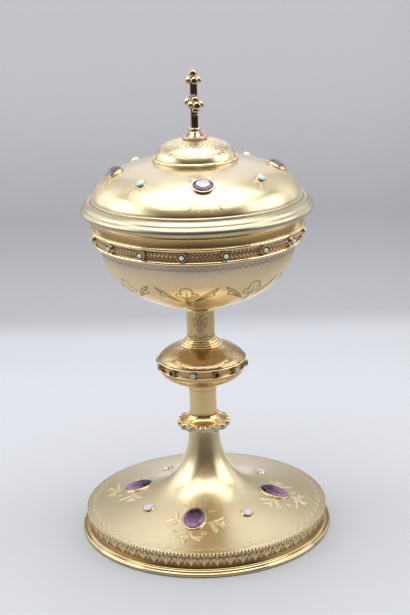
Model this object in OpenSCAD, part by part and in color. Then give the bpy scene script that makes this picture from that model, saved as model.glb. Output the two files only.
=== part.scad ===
// Ciborium: a covered cup on a knopped stem and a trumpet foot, silver-gilt, set with
// stones and pearls, and held together by one rod that runs from the bowl to the foot.
// Millimetres, +Z up, origin at the centre of the foot's underside, front towards -Y.

/* [Foot] */
// Outside diameter of the base moulding
foot_d = 131; // [110:1:160]
// Height of the base moulding
flange_h = 3.8; // [3.5:0.1:7]
// Height of the upright wall between the moulding and the foot plate
gallery_h = 6.9; // [4:0.1:12]
// How far the base moulding stands out past the foot plate
flange_out = 3; // [2.5:0.1:8]
// Rise of the foot plate from its edge inwards, in degrees
plate_rake = 6.5; // [2:0.1:12]
// Height that the trumpet adds above the plate
flare_rise = 38; // [28:0.5:55]
// How sharply the trumpet turns up: larger is sharper
flare_power = 1.26; // [1:0.02:1.8]
// Diameter of the neck where the collar sits on it
neck_d = 14.5; // [13:0.1:18]
// Wall of the foot
foot_wall = 1.2; // [0.8:0.1:2]
// Number of beads in the milled edge
bead_count = 212; // [120:1:240]
// Height of the milled edge
bead_h = 1.7; // [1:0.1:2.5]

/* [Stem] */
// Diameter of the rod through the stem
rod_d = 6; // [4:0.1:7]
// Diameter of the washer's bearing edge inside the trumpet
washer_d = 23; // [19:0.5:30]
// Thickness of the washer
washer_h = 3; // [2:0.1:5]
// Height of the stone-set collar
collar_h = 9.7; // [8.5:0.1:14]
// Diameter of the collar's rim
collar_d = 25.4; // [22:0.2:32]
// Diameter of the lower sleeve
lower_stem_d = 14.2; // [12.4:0.1:17]
// Length of the lower sleeve
lower_stem_h = 15.2; // [8:0.1:40]
// Diameter of the upper sleeve
upper_stem_d = 14.4; // [13.4:0.1:17]
// Length of the upper sleeve
upper_stem_h = 14.9; // [8:0.1:40]
// Wall of the sleeves
sleeve_wall = 1.2; // [0.8:0.1:2]

/* [Knop] */
// Diameter of the two knop shells where they meet the band
knop_d = 44.2; // [36:0.2:56]
// Half height of the lower shell
knop_low_h = 9.5; // [7:0.1:16]
// Half height of the upper shell
knop_up_h = 9.1; // [7:0.1:16]
// Height of the band's groove
groove_h = 3.5; // [3.4:0.1:6]
// Depth of the band's groove below the shells
groove_depth = 0.9; // [0.4:0.1:1.5]
// Wall of the knop shells
knop_wall = 1.2; // [0.8:0.1:1.8]

/* [Bowl] */
// Outside diameter of the bowl
bowl_d = 99.2; // [86:0.2:104]
// Depth of the bowl's curve, outside
bowl_curve_h = 37; // [28:0.5:60]
// Height of the bowl's straight wall above the curve
bowl_wall_h = 10.7; // [10:0.1:20]
// Wall of the bowl
bowl_wall = 1.2; // [0.8:0.1:2]
// How far the lip stands out from the bowl
lip_out = 3.7; // [2.5:0.1:5]
// Height of the plain lip
lip_h = 5.6; // [4:0.1:9]
// Height of the pearl band
band_h = 8.3; // [6:0.1:12]
// How far the band's lower edge stands out from the bowl
band_foot_out = 2; // [1:0.1:3]

/* [Lid] */
// Height of the lid's rim moulding, up to the dome
rim_h = 7.3; // [6:0.1:10]
// How far the rim's nose stands out past the lip
nose_out = 4.8; // [4:0.1:7]
// Height of the dome
dome_h = 18.7; // [12:0.1:36]
// Wall of the dome
lid_wall = 1.2; // [0.8:0.1:2]
// Depth of the locating flange inside the bowl
flange_drop = 5; // [3:0.1:9]
// Gap between the locating flange and the bowl, each side
lid_clear = 0.4; // [0.3:0.05:1]
// Diameter of the cupola on top of the lid
cupola_d = 39.8; // [30:0.2:50]
// Height of the cupola
cupola_h = 10.4; // [7:0.1:16]
// Wall of the cupola
cupola_wall = 1; // [0.7:0.1:1.6]

/* [Finial] */
// Diameter of the finial's base
finial_d = 12.8; // [10:0.1:16]
// Height of the finial's base up to the cross
finial_h = 5.4; // [4.6:0.1:9]
// Width of the cross's square bars
bar_w = 3.4; // [2.8:0.1:4.4]
// From the end of the finial to the middle of the cross
shaft_h = 11.9; // [9:0.1:24]
// From the middle of the cross to the middle of the top bud
top_arm_l = 11.2; // [9:0.1:16]
// From the middle of the cross to the middle of each side bud
side_arm_l = 4.8; // [4.4:0.1:14]
// Diameter of the beads in the buds
bud_d = 3.4; // [2.8:0.1:4]
// Turn of the cross from the front
cross_turn = 10; // [-45:1:45]

/* [Stones] */
// Length of the foot's oval amethysts, along the slope
foot_stone_l = 14; // [10:0.2:18]
// Width of the foot's oval amethysts
foot_stone_w = 10.2; // [8:0.2:14]
// Distance of the foot's stones from the axis
foot_stone_r = 37; // [32:0.5:46]
// Turn of the foot's stones from the front
foot_stone_turn = -9.4; // [-45:0.1:45]
// Length of the lid's oval amethysts, round the lid
lid_stone_l = 10.2; // [8:0.2:13]
// Width of the lid's oval amethysts, along the slope
lid_stone_w = 9; // [7:0.2:11]
// Distance of the lid's stones from the axis
lid_stone_r = 40.4; // [36:0.2:42]
// Turn of the lid's stones from the front
lid_stone_turn = 4.4; // [-45:0.1:45]
// Diameter of the small round stones between the amethysts
small_stone_d = 4.4; // [3:0.1:6]
// Diameter of the pearls
pearl_d = 2.7; // [2.4:0.1:4]
// Number of pearls
pearl_count = 16; // [8:1:24]
// Turn of the pearls from the front
pearl_turn = -8.6; // [-12:0.1:12]
// Number of stones round the knop, in two kinds by turns
knop_stone_count = 12; // [6:2:16]
// Turn of the knop's stones from the front
knop_stone_turn = -11.7; // [-30:0.1:30]
// Number of stones round the collar
collar_stone_count = 16; // [8:1:18]
// Diameter of the collar's stones
collar_stone_d = 2.4; // [1.4:0.1:2.6]
// Turn of the collar's stones from the front
collar_stone_turn = -13.7; // [-22:0.1:22]
// Wall of the settings
setting_wall = 0.5; // [0.4:0.05:0.6]

/* [Hidden] */
$fn = 96;
// Points along a quarter of a curved profile
steps = 22;
// Radial gap where a piece is screwed or slipped over another
slip = 0.05;
// Extra depth of a cut, so that it goes clear through
over = 0.5;
// Points round an oval setting
oval_steps = 40;

gilt = [0.80, 0.68, 0.44];
bright_gilt = [0.90, 0.80, 0.55];
amethyst = [0.36, 0.22, 0.55];
turquoise = [0.42, 0.66, 0.66];
garnet = [0.28, 0.05, 0.06];
opal = [0.88, 0.90, 0.92];
pearl = [0.94, 0.93, 0.90];
iron = [0.55, 0.54, 0.52];

// One quarter of a superellipse falls from 1 at u = 0 to 0 at u = 1
function bulge(u, n) = pow(max(0, 1 - pow(u, n)), 1 / n);
// Points of an arc, from one angle to the other
function arc(cx, cy, r, from, to, n = 8) =
    [for (i = [0 : n]) let (a = from + (to - from) * i / n) [cx + r * cos(a), cy + r * sin(a)]];
// Points of a quarter superellipse from its equator to its pole
function quarter(a, b, n, z, up = 1) =
    [for (i = [0 : steps]) let (t = 90 * i / steps)
        [a * pow(cos(t), 2 / n), z + up * b * pow(sin(t), 2 / n)]];
// The same quarter, from its equator in to a given radius
function quarter_to(a, b, n, z, up, r_end) =
    [for (i = [0 : steps]) let (r = a - (a - r_end) * pow(i / steps, 1.8))
        [r, z + up * b * bulge(r / a, n)]];
function backwards(list) = [for (i = [len(list) - 1 : -1 : 0]) list[i]];

// Foot levels and the trumpet's curve
foot_r = foot_d / 2;
plate_r = foot_r - flange_out;
neck_r = neck_d / 2;
plate_z = flange_h + gallery_h + foot_wall;
function foot_z(r) = plate_z + tan(plate_rake) * (plate_r - r)
    + flare_rise * (pow(neck_r / r, flare_power) - pow(neck_r / plate_r, flare_power));
function foot_slope(r) = -tan(plate_rake)
    - flare_rise * flare_power * pow(neck_r / r, flare_power) / r;
function foot_tilt(r) = atan(-foot_slope(r));
function foot_under(r) = foot_z(r) - foot_wall / cos(foot_tilt(r));
function trumpet_r(i, n) = plate_r * pow(neck_r / plate_r, i / n);
trumpet_steps = 40;
gallery_r = plate_r - 0.6;
gallery_in = gallery_r - 1.2;
flange_in = gallery_in - 0.8;

// Levels up the stem
rod_r = rod_d / 2;
rod_hole = rod_r + slip;
collar_z = foot_z(neck_r);
collar_r = collar_d / 2;
collar_cove_h = 1.2;
collar_rim_z = collar_z + collar_cove_h;
collar_rim_h = 3.6;
lower_stem_z = collar_z + collar_h;
lower_r = lower_stem_d / 2;
upper_r = upper_stem_d / 2;
knop_r = knop_d / 2;
knop_low_n = 1.85;
knop_up_n = 1.64;
knop_seat_r = lower_r + 0.35;
knop_z = lower_stem_z + lower_stem_h;
knop_low_z = knop_z + knop_low_h * bulge(knop_seat_r / knop_r, knop_low_n);
fillet_low = 0.7;
fillet_up = 0.8;
knop_up_z = knop_low_z + fillet_low + groove_h + fillet_up;
ring_seat_r = upper_r + 3.8;
ring_z = knop_up_z + knop_up_h * bulge(ring_seat_r / knop_r, knop_up_n);
ring_h = 3.8;
upper_stem_z = ring_z + ring_h;
groove_r = knop_r - groove_depth;
cup_ring_z = upper_stem_z + upper_stem_h;
cup_ring_r = upper_r + 0.9;
boss_r = upper_r - sleeve_wall - slip;

// Levels of the bowl
bowl_r = bowl_d / 2;
bowl_n = 2.2;
bowl_z = cup_ring_z + 3.5;
bowl_equator_z = bowl_z + bowl_curve_h;
mouth_z = bowl_equator_z + bowl_wall_h;
mouth_r = bowl_r - bowl_wall;
lip_r = bowl_r + lip_out;
lip_z = mouth_z - lip_h;
band_top_r = lip_r - 0.3;
band_foot_r = bowl_r + band_foot_out;
band_z = lip_z - band_h;
wire_r = 0.6;

// Levels of the lid
flange_r = mouth_r - lid_clear;
rim_r = lip_r + nose_out;
dome_z = mouth_z + rim_h;
dome_r = lip_r - 1.6;
dome_n = 3.55;
dome_m = 1.67;
function dome_curve(r, a, h) = dome_z + h * pow(max(0, 1 - pow(r / a, dome_n)), 1 / dome_m);
function lid_z(r) = dome_curve(r, dome_r, dome_h);
function lid_slope(r) = -dome_h / dome_m * pow(1 - pow(r / dome_r, dome_n), 1 / dome_m - 1)
    * dome_n * pow(r / dome_r, dome_n - 1) / dome_r;
function lid_tilt(r) = atan(-lid_slope(r));
cupola_r = cupola_d / 2;
cupola_n = 2.44;
cupola_wire_r = 0.65;
cupola_brim_r = cupola_r + 1.3;
cupola_z = lid_z(cupola_r) + 0.8;
function cupola_top(r) = cupola_z + cupola_h * bulge(r / cupola_r, cupola_n);
finial_r = finial_d / 2;
stud_r = 2;
finial_z = cupola_top(finial_r);
finial_top = finial_z + finial_h;
cross_z = finial_top + shaft_h;
bud_side = bar_w / 2 + bud_d * 0.2;
bud_end = bar_w / 2 + bud_d * 0.52;

// Settings: how high the stones stand
oval_seat = 0.9;
oval_ledge = 1.1;
oval_rim = 1.35;
small_rim = 1;
small_seat = 0.5;
collet_h = 2.5;
pearl_collet_h = 1.4;
collet_floor = 0.5;
quarter_turn = 90;

// A solid of revolution about the vertical axis
module turned(points) {
    rotate_extrude() polygon(points);
}

// Copies round the axis, at a radius, the first one turned from the front
module around(count, turn) {
    for (i = [0 : count - 1])
        rotate([0, 0, turn - quarter_turn + 360 * i / count]) children();
}

// Puts a child on a sloping surface, with its own Z along the normal and its X down the slope
module on_slope(r, z, tilt) {
    translate([r, 0, z]) rotate([0, tilt, 0]) children();
}

// An upright oval prism
module oval(length, width, from, to) {
    translate([0, 0, from]) linear_extrude(to - from)
        polygon([for (i = [0 : oval_steps - 1]) let (a = 360 * i / oval_steps)
            [length / 2 * cos(a), width / 2 * sin(a)]]);
}

// The wall and inner ledge of an oval setting; its foot reaches down to be cut to the surface
module oval_bezel(length, width) {
    depth = 3;
    difference() {
        oval(length + 2 * setting_wall, width + 2 * setting_wall, -depth, oval_rim);
        oval(length + 2 * slip, width + 2 * slip, oval_seat, oval_rim + over);
        oval(length - 2 * oval_ledge, width - 2 * oval_ledge, -depth - over, oval_seat + over);
    }
}

// An oval cut stone: a flat table, two rows of crown facets, a girdle and a short pavilion
module cut_stone(length, width) {
    sides = 16;
    // Each level: its height above the seat, and how far it is drawn in from the girdle
    levels = [[-0.7, oval_ledge + 1], [0, oval_ledge + 0.2], [0, 0], [0.45, 0], [1.25, 0.8],
        [1.75, 1.9]];
    rows = len(levels);
    points = [for (k = [0 : rows - 1]) for (i = [0 : sides - 1])
        let (a = 360 * (i + k % 2 / 2) / sides)
        [(length / 2 - levels[k][1]) * cos(a), (width / 2 - levels[k][1]) * sin(a),
            oval_seat + levels[k][0]]];
    // On odd rows the points are turned half a step, so the lower triangle leans the other way
    walls = [for (k = [0 : rows - 2]) for (i = [0 : sides - 1])
        let (a = k * sides + i, b = k * sides + (i + 1) % sides)
        let (c = a + sides, d = b + sides)
        each (k % 2 == 0 ? [[a, c, b], [b, c, d]] : [[a, c, d], [a, d, b]])];
    table = [[for (i = [sides - 1 : -1 : 0]) (rows - 1) * sides + i]];
    base = [[for (i = [0 : sides - 1]) i]];
    polyhedron(points, concat(walls, table, base));
}

// A round setting with a floor, standing on z = 0
module collet(stone_d, height, floor_h) {
    r = stone_d / 2 + slip;
    difference() {
        cylinder(h = height, r = r + setting_wall);
        translate([0, 0, floor_h]) cylinder(h = height, r = r);
    }
}

// A round setting whose open foot reaches down to be cut to a curved surface
module round_bezel(stone_d) {
    depth = 2;
    ledge = 0.8;
    r = stone_d / 2 + slip;
    difference() {
        translate([0, 0, -depth]) cylinder(h = depth + small_rim, r = r + setting_wall);
        translate([0, 0, small_seat]) cylinder(h = small_rim, r = r);
        translate([0, 0, -depth - over]) cylinder(h = depth + small_seat + 2 * over, r = r - ledge);
    }
}

// A domed stone with a flat base on z = 0: a low drum with a ball's cap on it
module cabochon(stone_d, drum_h, cap_h) {
    r = stone_d / 2;
    ball = (r * r + cap_h * cap_h) / (2 * cap_h);
    half = asin(r / ball);
    turned(concat([[0, 0], [r, 0]], arc(0, drum_h + cap_h - ball, ball, 90 - half, 90, 6)));
}

// A collet laid on its side, its base standing on the surface at the given radius
module on_drum(r, z) {
    translate([r, 0, z]) rotate([0, 90, 0]) children();
}

// A plain tube standing on z
module tube(r, wall, z, height) {
    translate([0, 0, z]) difference() {
        cylinder(h = height, r = r);
        translate([0, 0, -over]) cylinder(h = height + 2 * over, r = r - wall);
    }
}

// A six-sided nut with a plain hole, its lower face on z
module hex_nut(flats, height, hole_r, z) {
    corner_r = flats / 2 / cos(30);
    translate([0, 0, z]) difference() {
        cylinder(h = height, r = corner_r, $fn = 6);
        translate([0, 0, -over]) cylinder(h = height + 2 * over, r = hole_r);
    }
}

// Foot

// The outline of the foot's outer surface, closed down to the table
module foot_block() {
    turned(concat([[0, 0], [plate_r, 0]],
        [for (i = [0 : trumpet_steps]) let (r = trumpet_r(i, trumpet_steps)) [r, foot_z(r)]],
        [[0, collar_z]]));
}

// The space under the foot plate, up to the neck
module foot_space() {
    turned(concat([[0, 0], [plate_r - foot_wall, 0]], backwards(foot_inner()),
        [[0, collar_z]]));
}

function foot_inner() = concat([[neck_r - foot_wall, collar_z]],
    [for (i = [trumpet_steps : -1 : 0])
        let (r = trumpet_r(i, trumpet_steps), t = foot_tilt(r))
        [r - foot_wall * sin(t), foot_z(r) - foot_wall * cos(t)]]);

module foot_flange() {
    nose = flange_h * 0.3;
    bead = 0.45;
    color(bright_gilt) turned(concat(
        [[flange_in, 0], [foot_r - nose * 0.7, 0]],
        arc(foot_r - nose, nose, nose, -60, 70, 8),
        arc(foot_r - nose * 0.2, flange_h - bead * 2, nose * 1.2, 235, 185, 6),
        arc(gallery_r + 1.2, flange_h - bead, bead, -40, 90, 6),
        [[flange_in, flange_h]]));
}

module foot_gallery() {
    color(gilt) turned([[gallery_in, flange_h], [gallery_r, flange_h],
        [gallery_r, foot_under(gallery_r)], [gallery_in, foot_under(gallery_in)]]);
}

// The milled edge: a ring of teeth round the edge of the foot plate, level with its top
module foot_beading() {
    tooth_root = plate_r + 0.2;
    tooth_top = tooth_root + 0.45;
    step = 360 / bead_count;
    color(bright_gilt) translate([0, 0, plate_z - bead_h]) linear_extrude(bead_h) difference() {
        polygon([for (i = [0 : bead_count - 1]) for (k = [0, 1])
            let (a = (i + k / 2) * step, r = k == 1 ? tooth_top : tooth_root)
            [r * cos(a), r * sin(a)]]);
        circle(r = plate_r, $fn = 2 * bead_count);
    }
}

module foot_shell() {
    color(gilt) turned(concat(
        [[plate_r, foot_under(plate_r)]],
        [for (i = [0 : trumpet_steps]) let (r = trumpet_r(i, trumpet_steps)) [r, foot_z(r)]],
        foot_inner()));
}

module foot_amethyst_bezels() {
    color(bright_gilt) difference() {
        around(4, foot_stone_turn)
            on_slope(foot_stone_r, foot_z(foot_stone_r), foot_tilt(foot_stone_r))
                oval_bezel(foot_stone_l, foot_stone_w);
        foot_block();
    }
}

module foot_amethysts() {
    color(amethyst) around(4, foot_stone_turn)
        on_slope(foot_stone_r, foot_z(foot_stone_r), foot_tilt(foot_stone_r))
            cut_stone(foot_stone_l, foot_stone_w);
}

module foot_opal_bezels() {
    color(bright_gilt) difference() {
        around(4, foot_stone_turn + 45)
            on_slope(foot_stone_r, foot_z(foot_stone_r), foot_tilt(foot_stone_r))
                round_bezel(small_stone_d);
        foot_block();
    }
}

module foot_opals() {
    color(opal) around(4, foot_stone_turn + 45)
        on_slope(foot_stone_r, foot_z(foot_stone_r), foot_tilt(foot_stone_r))
            translate([0, 0, small_seat]) cabochon(small_stone_d, small_rim - small_seat, 0.9);
}

// Inside the foot: a washer that bears on the trumpet, and the nut that draws all together
washer_r = washer_d / 2;
washer_z = foot_under(washer_r);
nut_h = rod_d * 0.85;
nut_flats = rod_d * 1.67;
nut_z = washer_z - washer_h - nut_h;
rod_z = nut_z - 2;
rod_top = bowl_z - 1;

module foot_washer() {
    color(iron) difference() {
        intersection() {
            translate([0, 0, washer_z - washer_h]) cylinder(h = washer_h, r = plate_r / 2);
            foot_space();
        }
        cylinder(h = collar_z, r = rod_hole);
    }
}

module foot_nut() {
    color(iron) hex_nut(nut_flats, nut_h, rod_hole, nut_z);
}

module tie_rod() {
    color(iron) translate([0, 0, rod_z]) cylinder(h = rod_top - rod_z, r = rod_r);
}

// Stem

module stem_collar() {
    lip = 0.75;
    cove = collar_r - neck_r - 1.6;
    rim_top = collar_rim_z + collar_rim_h;
    flare_r = collar_r - 2 * lip - 0.4;
    flare_h = lower_stem_z - rim_top;
    flare_w = flare_r - lower_r - 0.4;
    flare_steps = 8;
    flare_bend = 1.4;
    bore = lower_r - sleeve_wall;
    color(bright_gilt) turned(concat(
        [[bore, collar_z], [neck_r + 1.2, collar_z]],
        [for (i = [0 : 6]) let (t = 15 * i)
            [neck_r + 1.2 + cove * (1 - cos(t)), collar_z + collar_cove_h * sin(t)]],
        [[collar_r, collar_rim_z + 0.2], [collar_r, rim_top - lip]],
        arc(collar_r - lip, rim_top - lip, lip, 0, 180, 8),
        [for (i = [0 : flare_steps]) let (t = i / flare_steps)
            [lower_r + 0.4 + flare_w * pow(1 - t, flare_bend), rim_top - 0.3 + (flare_h + 0.3) * t]],
        [[bore, lower_stem_z]]));
}

module collar_bezels() {
    color(bright_gilt) around(collar_stone_count, collar_stone_turn)
        on_drum(collar_r, collar_rim_z + collar_rim_h / 2)
            collet(collar_stone_d, 0.9, 0.3);
}

module collar_turquoises() {
    color(turquoise) around(collar_stone_count, collar_stone_turn)
        on_drum(collar_r + 0.3, collar_rim_z + collar_rim_h / 2)
            cabochon(collar_stone_d, 0.5, 0.55);
}

module lower_stem_sleeve() {
    line_h = 0.5;
    color(gilt) union() {
        tube(lower_r, sleeve_wall, lower_stem_z, lower_stem_h);
        translate([0, 0, knop_z - 3 - line_h]) tube(lower_r + 0.2, sleeve_wall, 0, line_h);
    }
}

module knop_lower_shell() {
    in_r = knop_r - knop_wall;
    in_h = knop_low_h - knop_wall;
    floor_z = knop_z + knop_wall;
    floor_r = in_r * bulge((knop_low_z - floor_z) / in_h, knop_low_n);
    color(gilt) turned(concat(
        quarter_to(knop_r, knop_low_h, knop_low_n, knop_low_z, -1, knop_seat_r),
        [[rod_hole, knop_z], [rod_hole, floor_z]],
        backwards(quarter_to(in_r, in_h, knop_low_n, knop_low_z, -1, floor_r))));
}

module knop_upper_shell() {
    in_r = knop_r - knop_wall;
    in_h = knop_up_h - knop_wall;
    roof_z = ring_z - knop_wall;
    roof_r = in_r * bulge((roof_z - knop_up_z) / in_h, knop_up_n);
    color(gilt) turned(concat(
        quarter_to(knop_r, knop_up_h, knop_up_n, knop_up_z, 1, ring_seat_r),
        [[rod_hole, ring_z], [rod_hole, roof_z]],
        backwards(quarter_to(in_r, in_h, knop_up_n, knop_up_z, 1, roof_r))));
}

// The band between the shells: a groove for the settings between two fillets
module knop_band() {
    in_r = knop_r - knop_wall - 1;
    low = fillet_low / 2;
    up = fillet_up / 2;
    groove_z = knop_low_z + fillet_low;
    color(bright_gilt) turned(concat(
        [[in_r, knop_low_z]],
        arc(knop_r - 0.1, knop_low_z + low, low, -90, 90, 6),
        [[groove_r, groove_z], [groove_r, groove_z + groove_h]],
        arc(knop_r + 0.2, knop_up_z - up, up, -90, 90, 6),
        [[in_r, knop_up_z]]));
}

knop_stone_z = knop_low_z + fillet_low + groove_h / 2;
// The settings fill the groove's height but for a small gap
knop_stone_d = groove_h - 2 * (setting_wall + 2 * slip);

module knop_bezels() {
    color(bright_gilt) around(knop_stone_count, knop_stone_turn)
        on_drum(groove_r, knop_stone_z) collet(knop_stone_d, collet_h, collet_floor);
}

module knop_turquoises() {
    color(turquoise) around(knop_stone_count / 2, knop_stone_turn)
        on_drum(groove_r + collet_floor, knop_stone_z)
            cabochon(knop_stone_d, collet_h - collet_floor, 0.6);
}

module knop_garnets() {
    color(garnet) around(knop_stone_count / 2, knop_stone_turn + 360 / knop_stone_count)
        on_drum(groove_r + collet_floor, knop_stone_z)
            cabochon(knop_stone_d, collet_h - collet_floor, 0.6);
}

// Three polished rings, stepped in from the knop to the sleeve
module knop_top_ring() {
    rings = 3;
    ring_step = ring_h / (rings + 1);
    in_step = (ring_seat_r - upper_r - 0.5) / rings;
    color(bright_gilt) turned(concat(
        [[rod_hole, ring_z], [ring_seat_r, ring_z]],
        [for (i = [0 : rings - 1])
            each arc(ring_seat_r - ring_step / 2 - i * in_step, ring_z + ring_step * (i + 0.5),
                ring_step / 2, -90, 90, 6)],
        [[upper_r + 0.5, upper_stem_z - ring_step], [upper_r + 0.5, upper_stem_z],
            [rod_hole, upper_stem_z]]));
}

module upper_stem_sleeve() {
    color(gilt) tube(upper_r, sleeve_wall, upper_stem_z, upper_stem_h);
}

// Bowl

// The outline of the bowl's outer surface, filled
module bowl_block() {
    turned(concat(quarter(bowl_r, bowl_curve_h, bowl_n, bowl_equator_z, -1),
        [[0, bowl_equator_z]]));
}

// The moulding between the sleeve and the bowl, cut to the bowl's underside
module cup_ring() {
    ring = 0.6;
    color(bright_gilt) difference() {
        turned(concat([[boss_r + slip, cup_ring_z], [upper_r, cup_ring_z]],
            arc(upper_r, cup_ring_z + ring, ring, -90, 90, 6),
            arc(cup_ring_r, cup_ring_z + 2 * ring + 0.9, 0.9, 215, 150, 5),
            [[cup_ring_r + 0.6, bowl_z + 2], [boss_r + slip, bowl_z + 2]]));
        bowl_block();
    }
}

// The socket under the bowl that takes the rod's upper end
module bowl_boss() {
    color(iron) difference() {
        translate([0, 0, cup_ring_z + slip]) cylinder(h = bowl_z + 2 - cup_ring_z, r = boss_r);
        cylinder(h = rod_top, r = rod_hole);
        bowl_block();
    }
}

module bowl() {
    color(gilt) turned(concat(
        [[0, bowl_z]],
        backwards(quarter(bowl_r, bowl_curve_h, bowl_n, bowl_equator_z, -1)),
        [[bowl_r, mouth_z], [mouth_r, mouth_z]],
        quarter(mouth_r, bowl_curve_h - bowl_wall, bowl_n, bowl_equator_z, -1)));
}

module bowl_lip() {
    bead = 0.5;
    color(bright_gilt) turned(concat(
        [[bowl_r, lip_z], [lip_r - 0.2, lip_z]],
        [[lip_r - 0.2, mouth_z - 2 * bead]],
        arc(lip_r - bead, mouth_z - bead, bead, -50, 90, 6),
        [[bowl_r, mouth_z]]));
}

module bowl_band() {
    color(gilt) turned([[bowl_r, band_z], [band_foot_r, band_z], [band_top_r, lip_z],
        [bowl_r, lip_z]]);
}

// Round wires along both edges of the band
module band_wires() {
    lean = atan((band_top_r - band_foot_r) / band_h);
    color(bright_gilt) for (t = [wire_r, band_h - wire_r])
        rotate_extrude() translate([band_foot_r + t * tan(lean) + wire_r / cos(lean), band_z + t])
            circle(r = wire_r);
}

pearl_z = band_z + band_h / 2;
pearl_seat_r = (band_foot_r + band_top_r) / 2;
pearl_lean = atan((band_top_r - band_foot_r) / band_h);

module on_band() {
    translate([pearl_seat_r, 0, pearl_z]) rotate([0, 90 + pearl_lean, 0]) children();
}

module band_bezels() {
    color(bright_gilt) around(pearl_count, pearl_turn)
        on_band() collet(pearl_d, pearl_collet_h, collet_floor);
}

module band_pearls() {
    color(pearl) around(pearl_count, pearl_turn)
        on_band() translate([0, 0, collet_floor + pearl_d / 2]) sphere(d = pearl_d);
}

// Lid

// The moulding that rests on the lip: a bead, a round nose, a shoulder and a fillet
module lid_rim() {
    bead = 0.8;
    nose = 2.4;
    shoulder = 3;
    fillet = 0.7;
    quirk = 0.4;
    fillet_r = dome_r + 0.5;
    nose_r = rim_r - nose;
    shoulder_r = nose_r - 2;
    color(bright_gilt) turned(concat(
        [[flange_r, mouth_z], [lip_r, mouth_z]],
        arc(lip_r + 0.3, mouth_z + bead, bead, -70, 40, 5),
        arc(nose_r, mouth_z + nose + 0.3, nose, -85, 60, 10),
        arc(shoulder_r, dome_z - shoulder, shoulder, 15, 82, 6),
        [[fillet_r + fillet + quirk, dome_z - quirk]],
        arc(fillet_r, dome_z + fillet, fillet, -60, 90, 6),
        [[dome_r, dome_z + 2 * fillet], [dome_r, dome_z], [flange_r, dome_z]]));
}

// The flange that drops into the bowl's mouth and keeps the lid in place
module lid_flange() {
    wall = 1.1;
    color(gilt) tube(flange_r, wall, mouth_z - flange_drop, flange_drop + rim_h - 1);
}

// The outline of the dome's outer surface, filled
module dome_block() {
    turned(concat([[0, dome_z], [dome_r, dome_z]], dome_points(dome_r, dome_h)));
}

function dome_points(a, h) = [for (i = [1 : 2 * steps])
    let (r = a * sqrt(1 - pow(i / (2 * steps), 2))) [r, dome_curve(r, a, h)]];

module lid_shell() {
    color(gilt) difference() {
        turned(concat([[dome_r - lid_wall, dome_z], [dome_r, dome_z]],
            dome_points(dome_r, dome_h),
            backwards(dome_points(dome_r - lid_wall, dome_h - lid_wall))));
        translate([0, 0, dome_z]) cylinder(h = dome_h + over, r = stud_r + slip);
    }
}

module lid_amethyst_bezels() {
    color(bright_gilt) difference() {
        around(4, lid_stone_turn)
            on_slope(lid_stone_r, lid_z(lid_stone_r), lid_tilt(lid_stone_r))
                oval_bezel(lid_stone_w, lid_stone_l);
        dome_block();
    }
}

module lid_amethysts() {
    color(amethyst) around(4, lid_stone_turn)
        on_slope(lid_stone_r, lid_z(lid_stone_r), lid_tilt(lid_stone_r))
            cut_stone(lid_stone_w, lid_stone_l);
}

module lid_turquoise_bezels() {
    color(bright_gilt) difference() {
        around(4, lid_stone_turn + 45)
            on_slope(lid_stone_r, lid_z(lid_stone_r), lid_tilt(lid_stone_r))
                round_bezel(small_stone_d);
        dome_block();
    }
}

module lid_turquoises() {
    color(turquoise) around(4, lid_stone_turn + 45)
        on_slope(lid_stone_r, lid_z(lid_stone_r), lid_tilt(lid_stone_r))
            translate([0, 0, small_seat]) cabochon(small_stone_d, small_rim - small_seat, 0.9);
}

// The outline of the cupola's outer surface, filled
module cupola_block() {
    turned(concat(quarter(cupola_r, cupola_h, cupola_n, cupola_z), [[0, cupola_z]]));
}

// A small hollow dome with a brim, seated on the lid
module cupola() {
    in_r = cupola_r - cupola_wall;
    brim_z = lid_z(cupola_brim_r) - 1;
    color(gilt) difference() {
        union() {
            cupola_block();
            translate([0, 0, brim_z]) cylinder(h = cupola_z - brim_z, r = cupola_brim_r);
        }
        turned(concat(quarter(in_r, cupola_h - cupola_wall, cupola_n, cupola_z),
            [[0, cupola_z]]));
        translate([0, 0, brim_z - over]) cylinder(h = cupola_z - brim_z + 2 * over, r = in_r);
        dome_block();
        cylinder(h = cupola_z + cupola_h + over, r = stud_r + slip);
    }
}

module cupola_wire() {
    color(bright_gilt) rotate_extrude()
        translate([cupola_brim_r - cupola_wire_r * 0.8, cupola_z + cupola_wire_r])
            circle(r = cupola_wire_r);
}

// Finial

// A turned foot for the cross, with the stud that goes down through cupola and lid
stud_end = dome_z + dome_h - lid_wall - 5.5;

module finial_base() {
    brim = 0.7;
    ring = 0.8;
    spool_r = bar_w * 0.82;
    spool_h = finial_h - 2 * brim - 2 * ring;
    cone_steps = 6;
    cone_bend = 1.3;
    color(bright_gilt) union() {
        difference() {
            turned(concat([[0, finial_z - 1]], [[finial_r - brim, finial_z - 1]],
                arc(finial_r - brim, finial_z + brim, brim, -70, 90, 6),
                [for (i = [0 : cone_steps]) let (t = i / cone_steps)
                    [spool_r + (finial_r - brim - spool_r) * pow(1 - t, cone_bend),
                        finial_z + 2 * brim + spool_h * t]],
                arc(bar_w * 0.98 - ring, finial_top - ring, ring, -90, 90, 6),
                [[0, finial_top]]));
            cupola_block();
        }
        translate([0, 0, stud_end])
            cylinder(h = finial_z + brim - stud_end, r = stud_r);
    }
}

module finial_nut() {
    nut_h = 3.4;
    top = dome_curve(stud_r + 2, dome_r - lid_wall, dome_h - lid_wall) - slip;
    color(iron) hex_nut(stud_r * 3.5, nut_h, stud_r + slip, top - nut_h);
}

// A bud at the end of an arm: beads on four sides and one at the end, along +Z
module bud(reach) {
    translate([0, 0, reach]) {
        for (a = [0 : 90 : 270]) rotate([0, 0, a]) translate([bud_side, 0, 0]) sphere(d = bud_d);
        translate([0, 0, bud_end]) sphere(d = bud_d * 1.1);
    }
}

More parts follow.
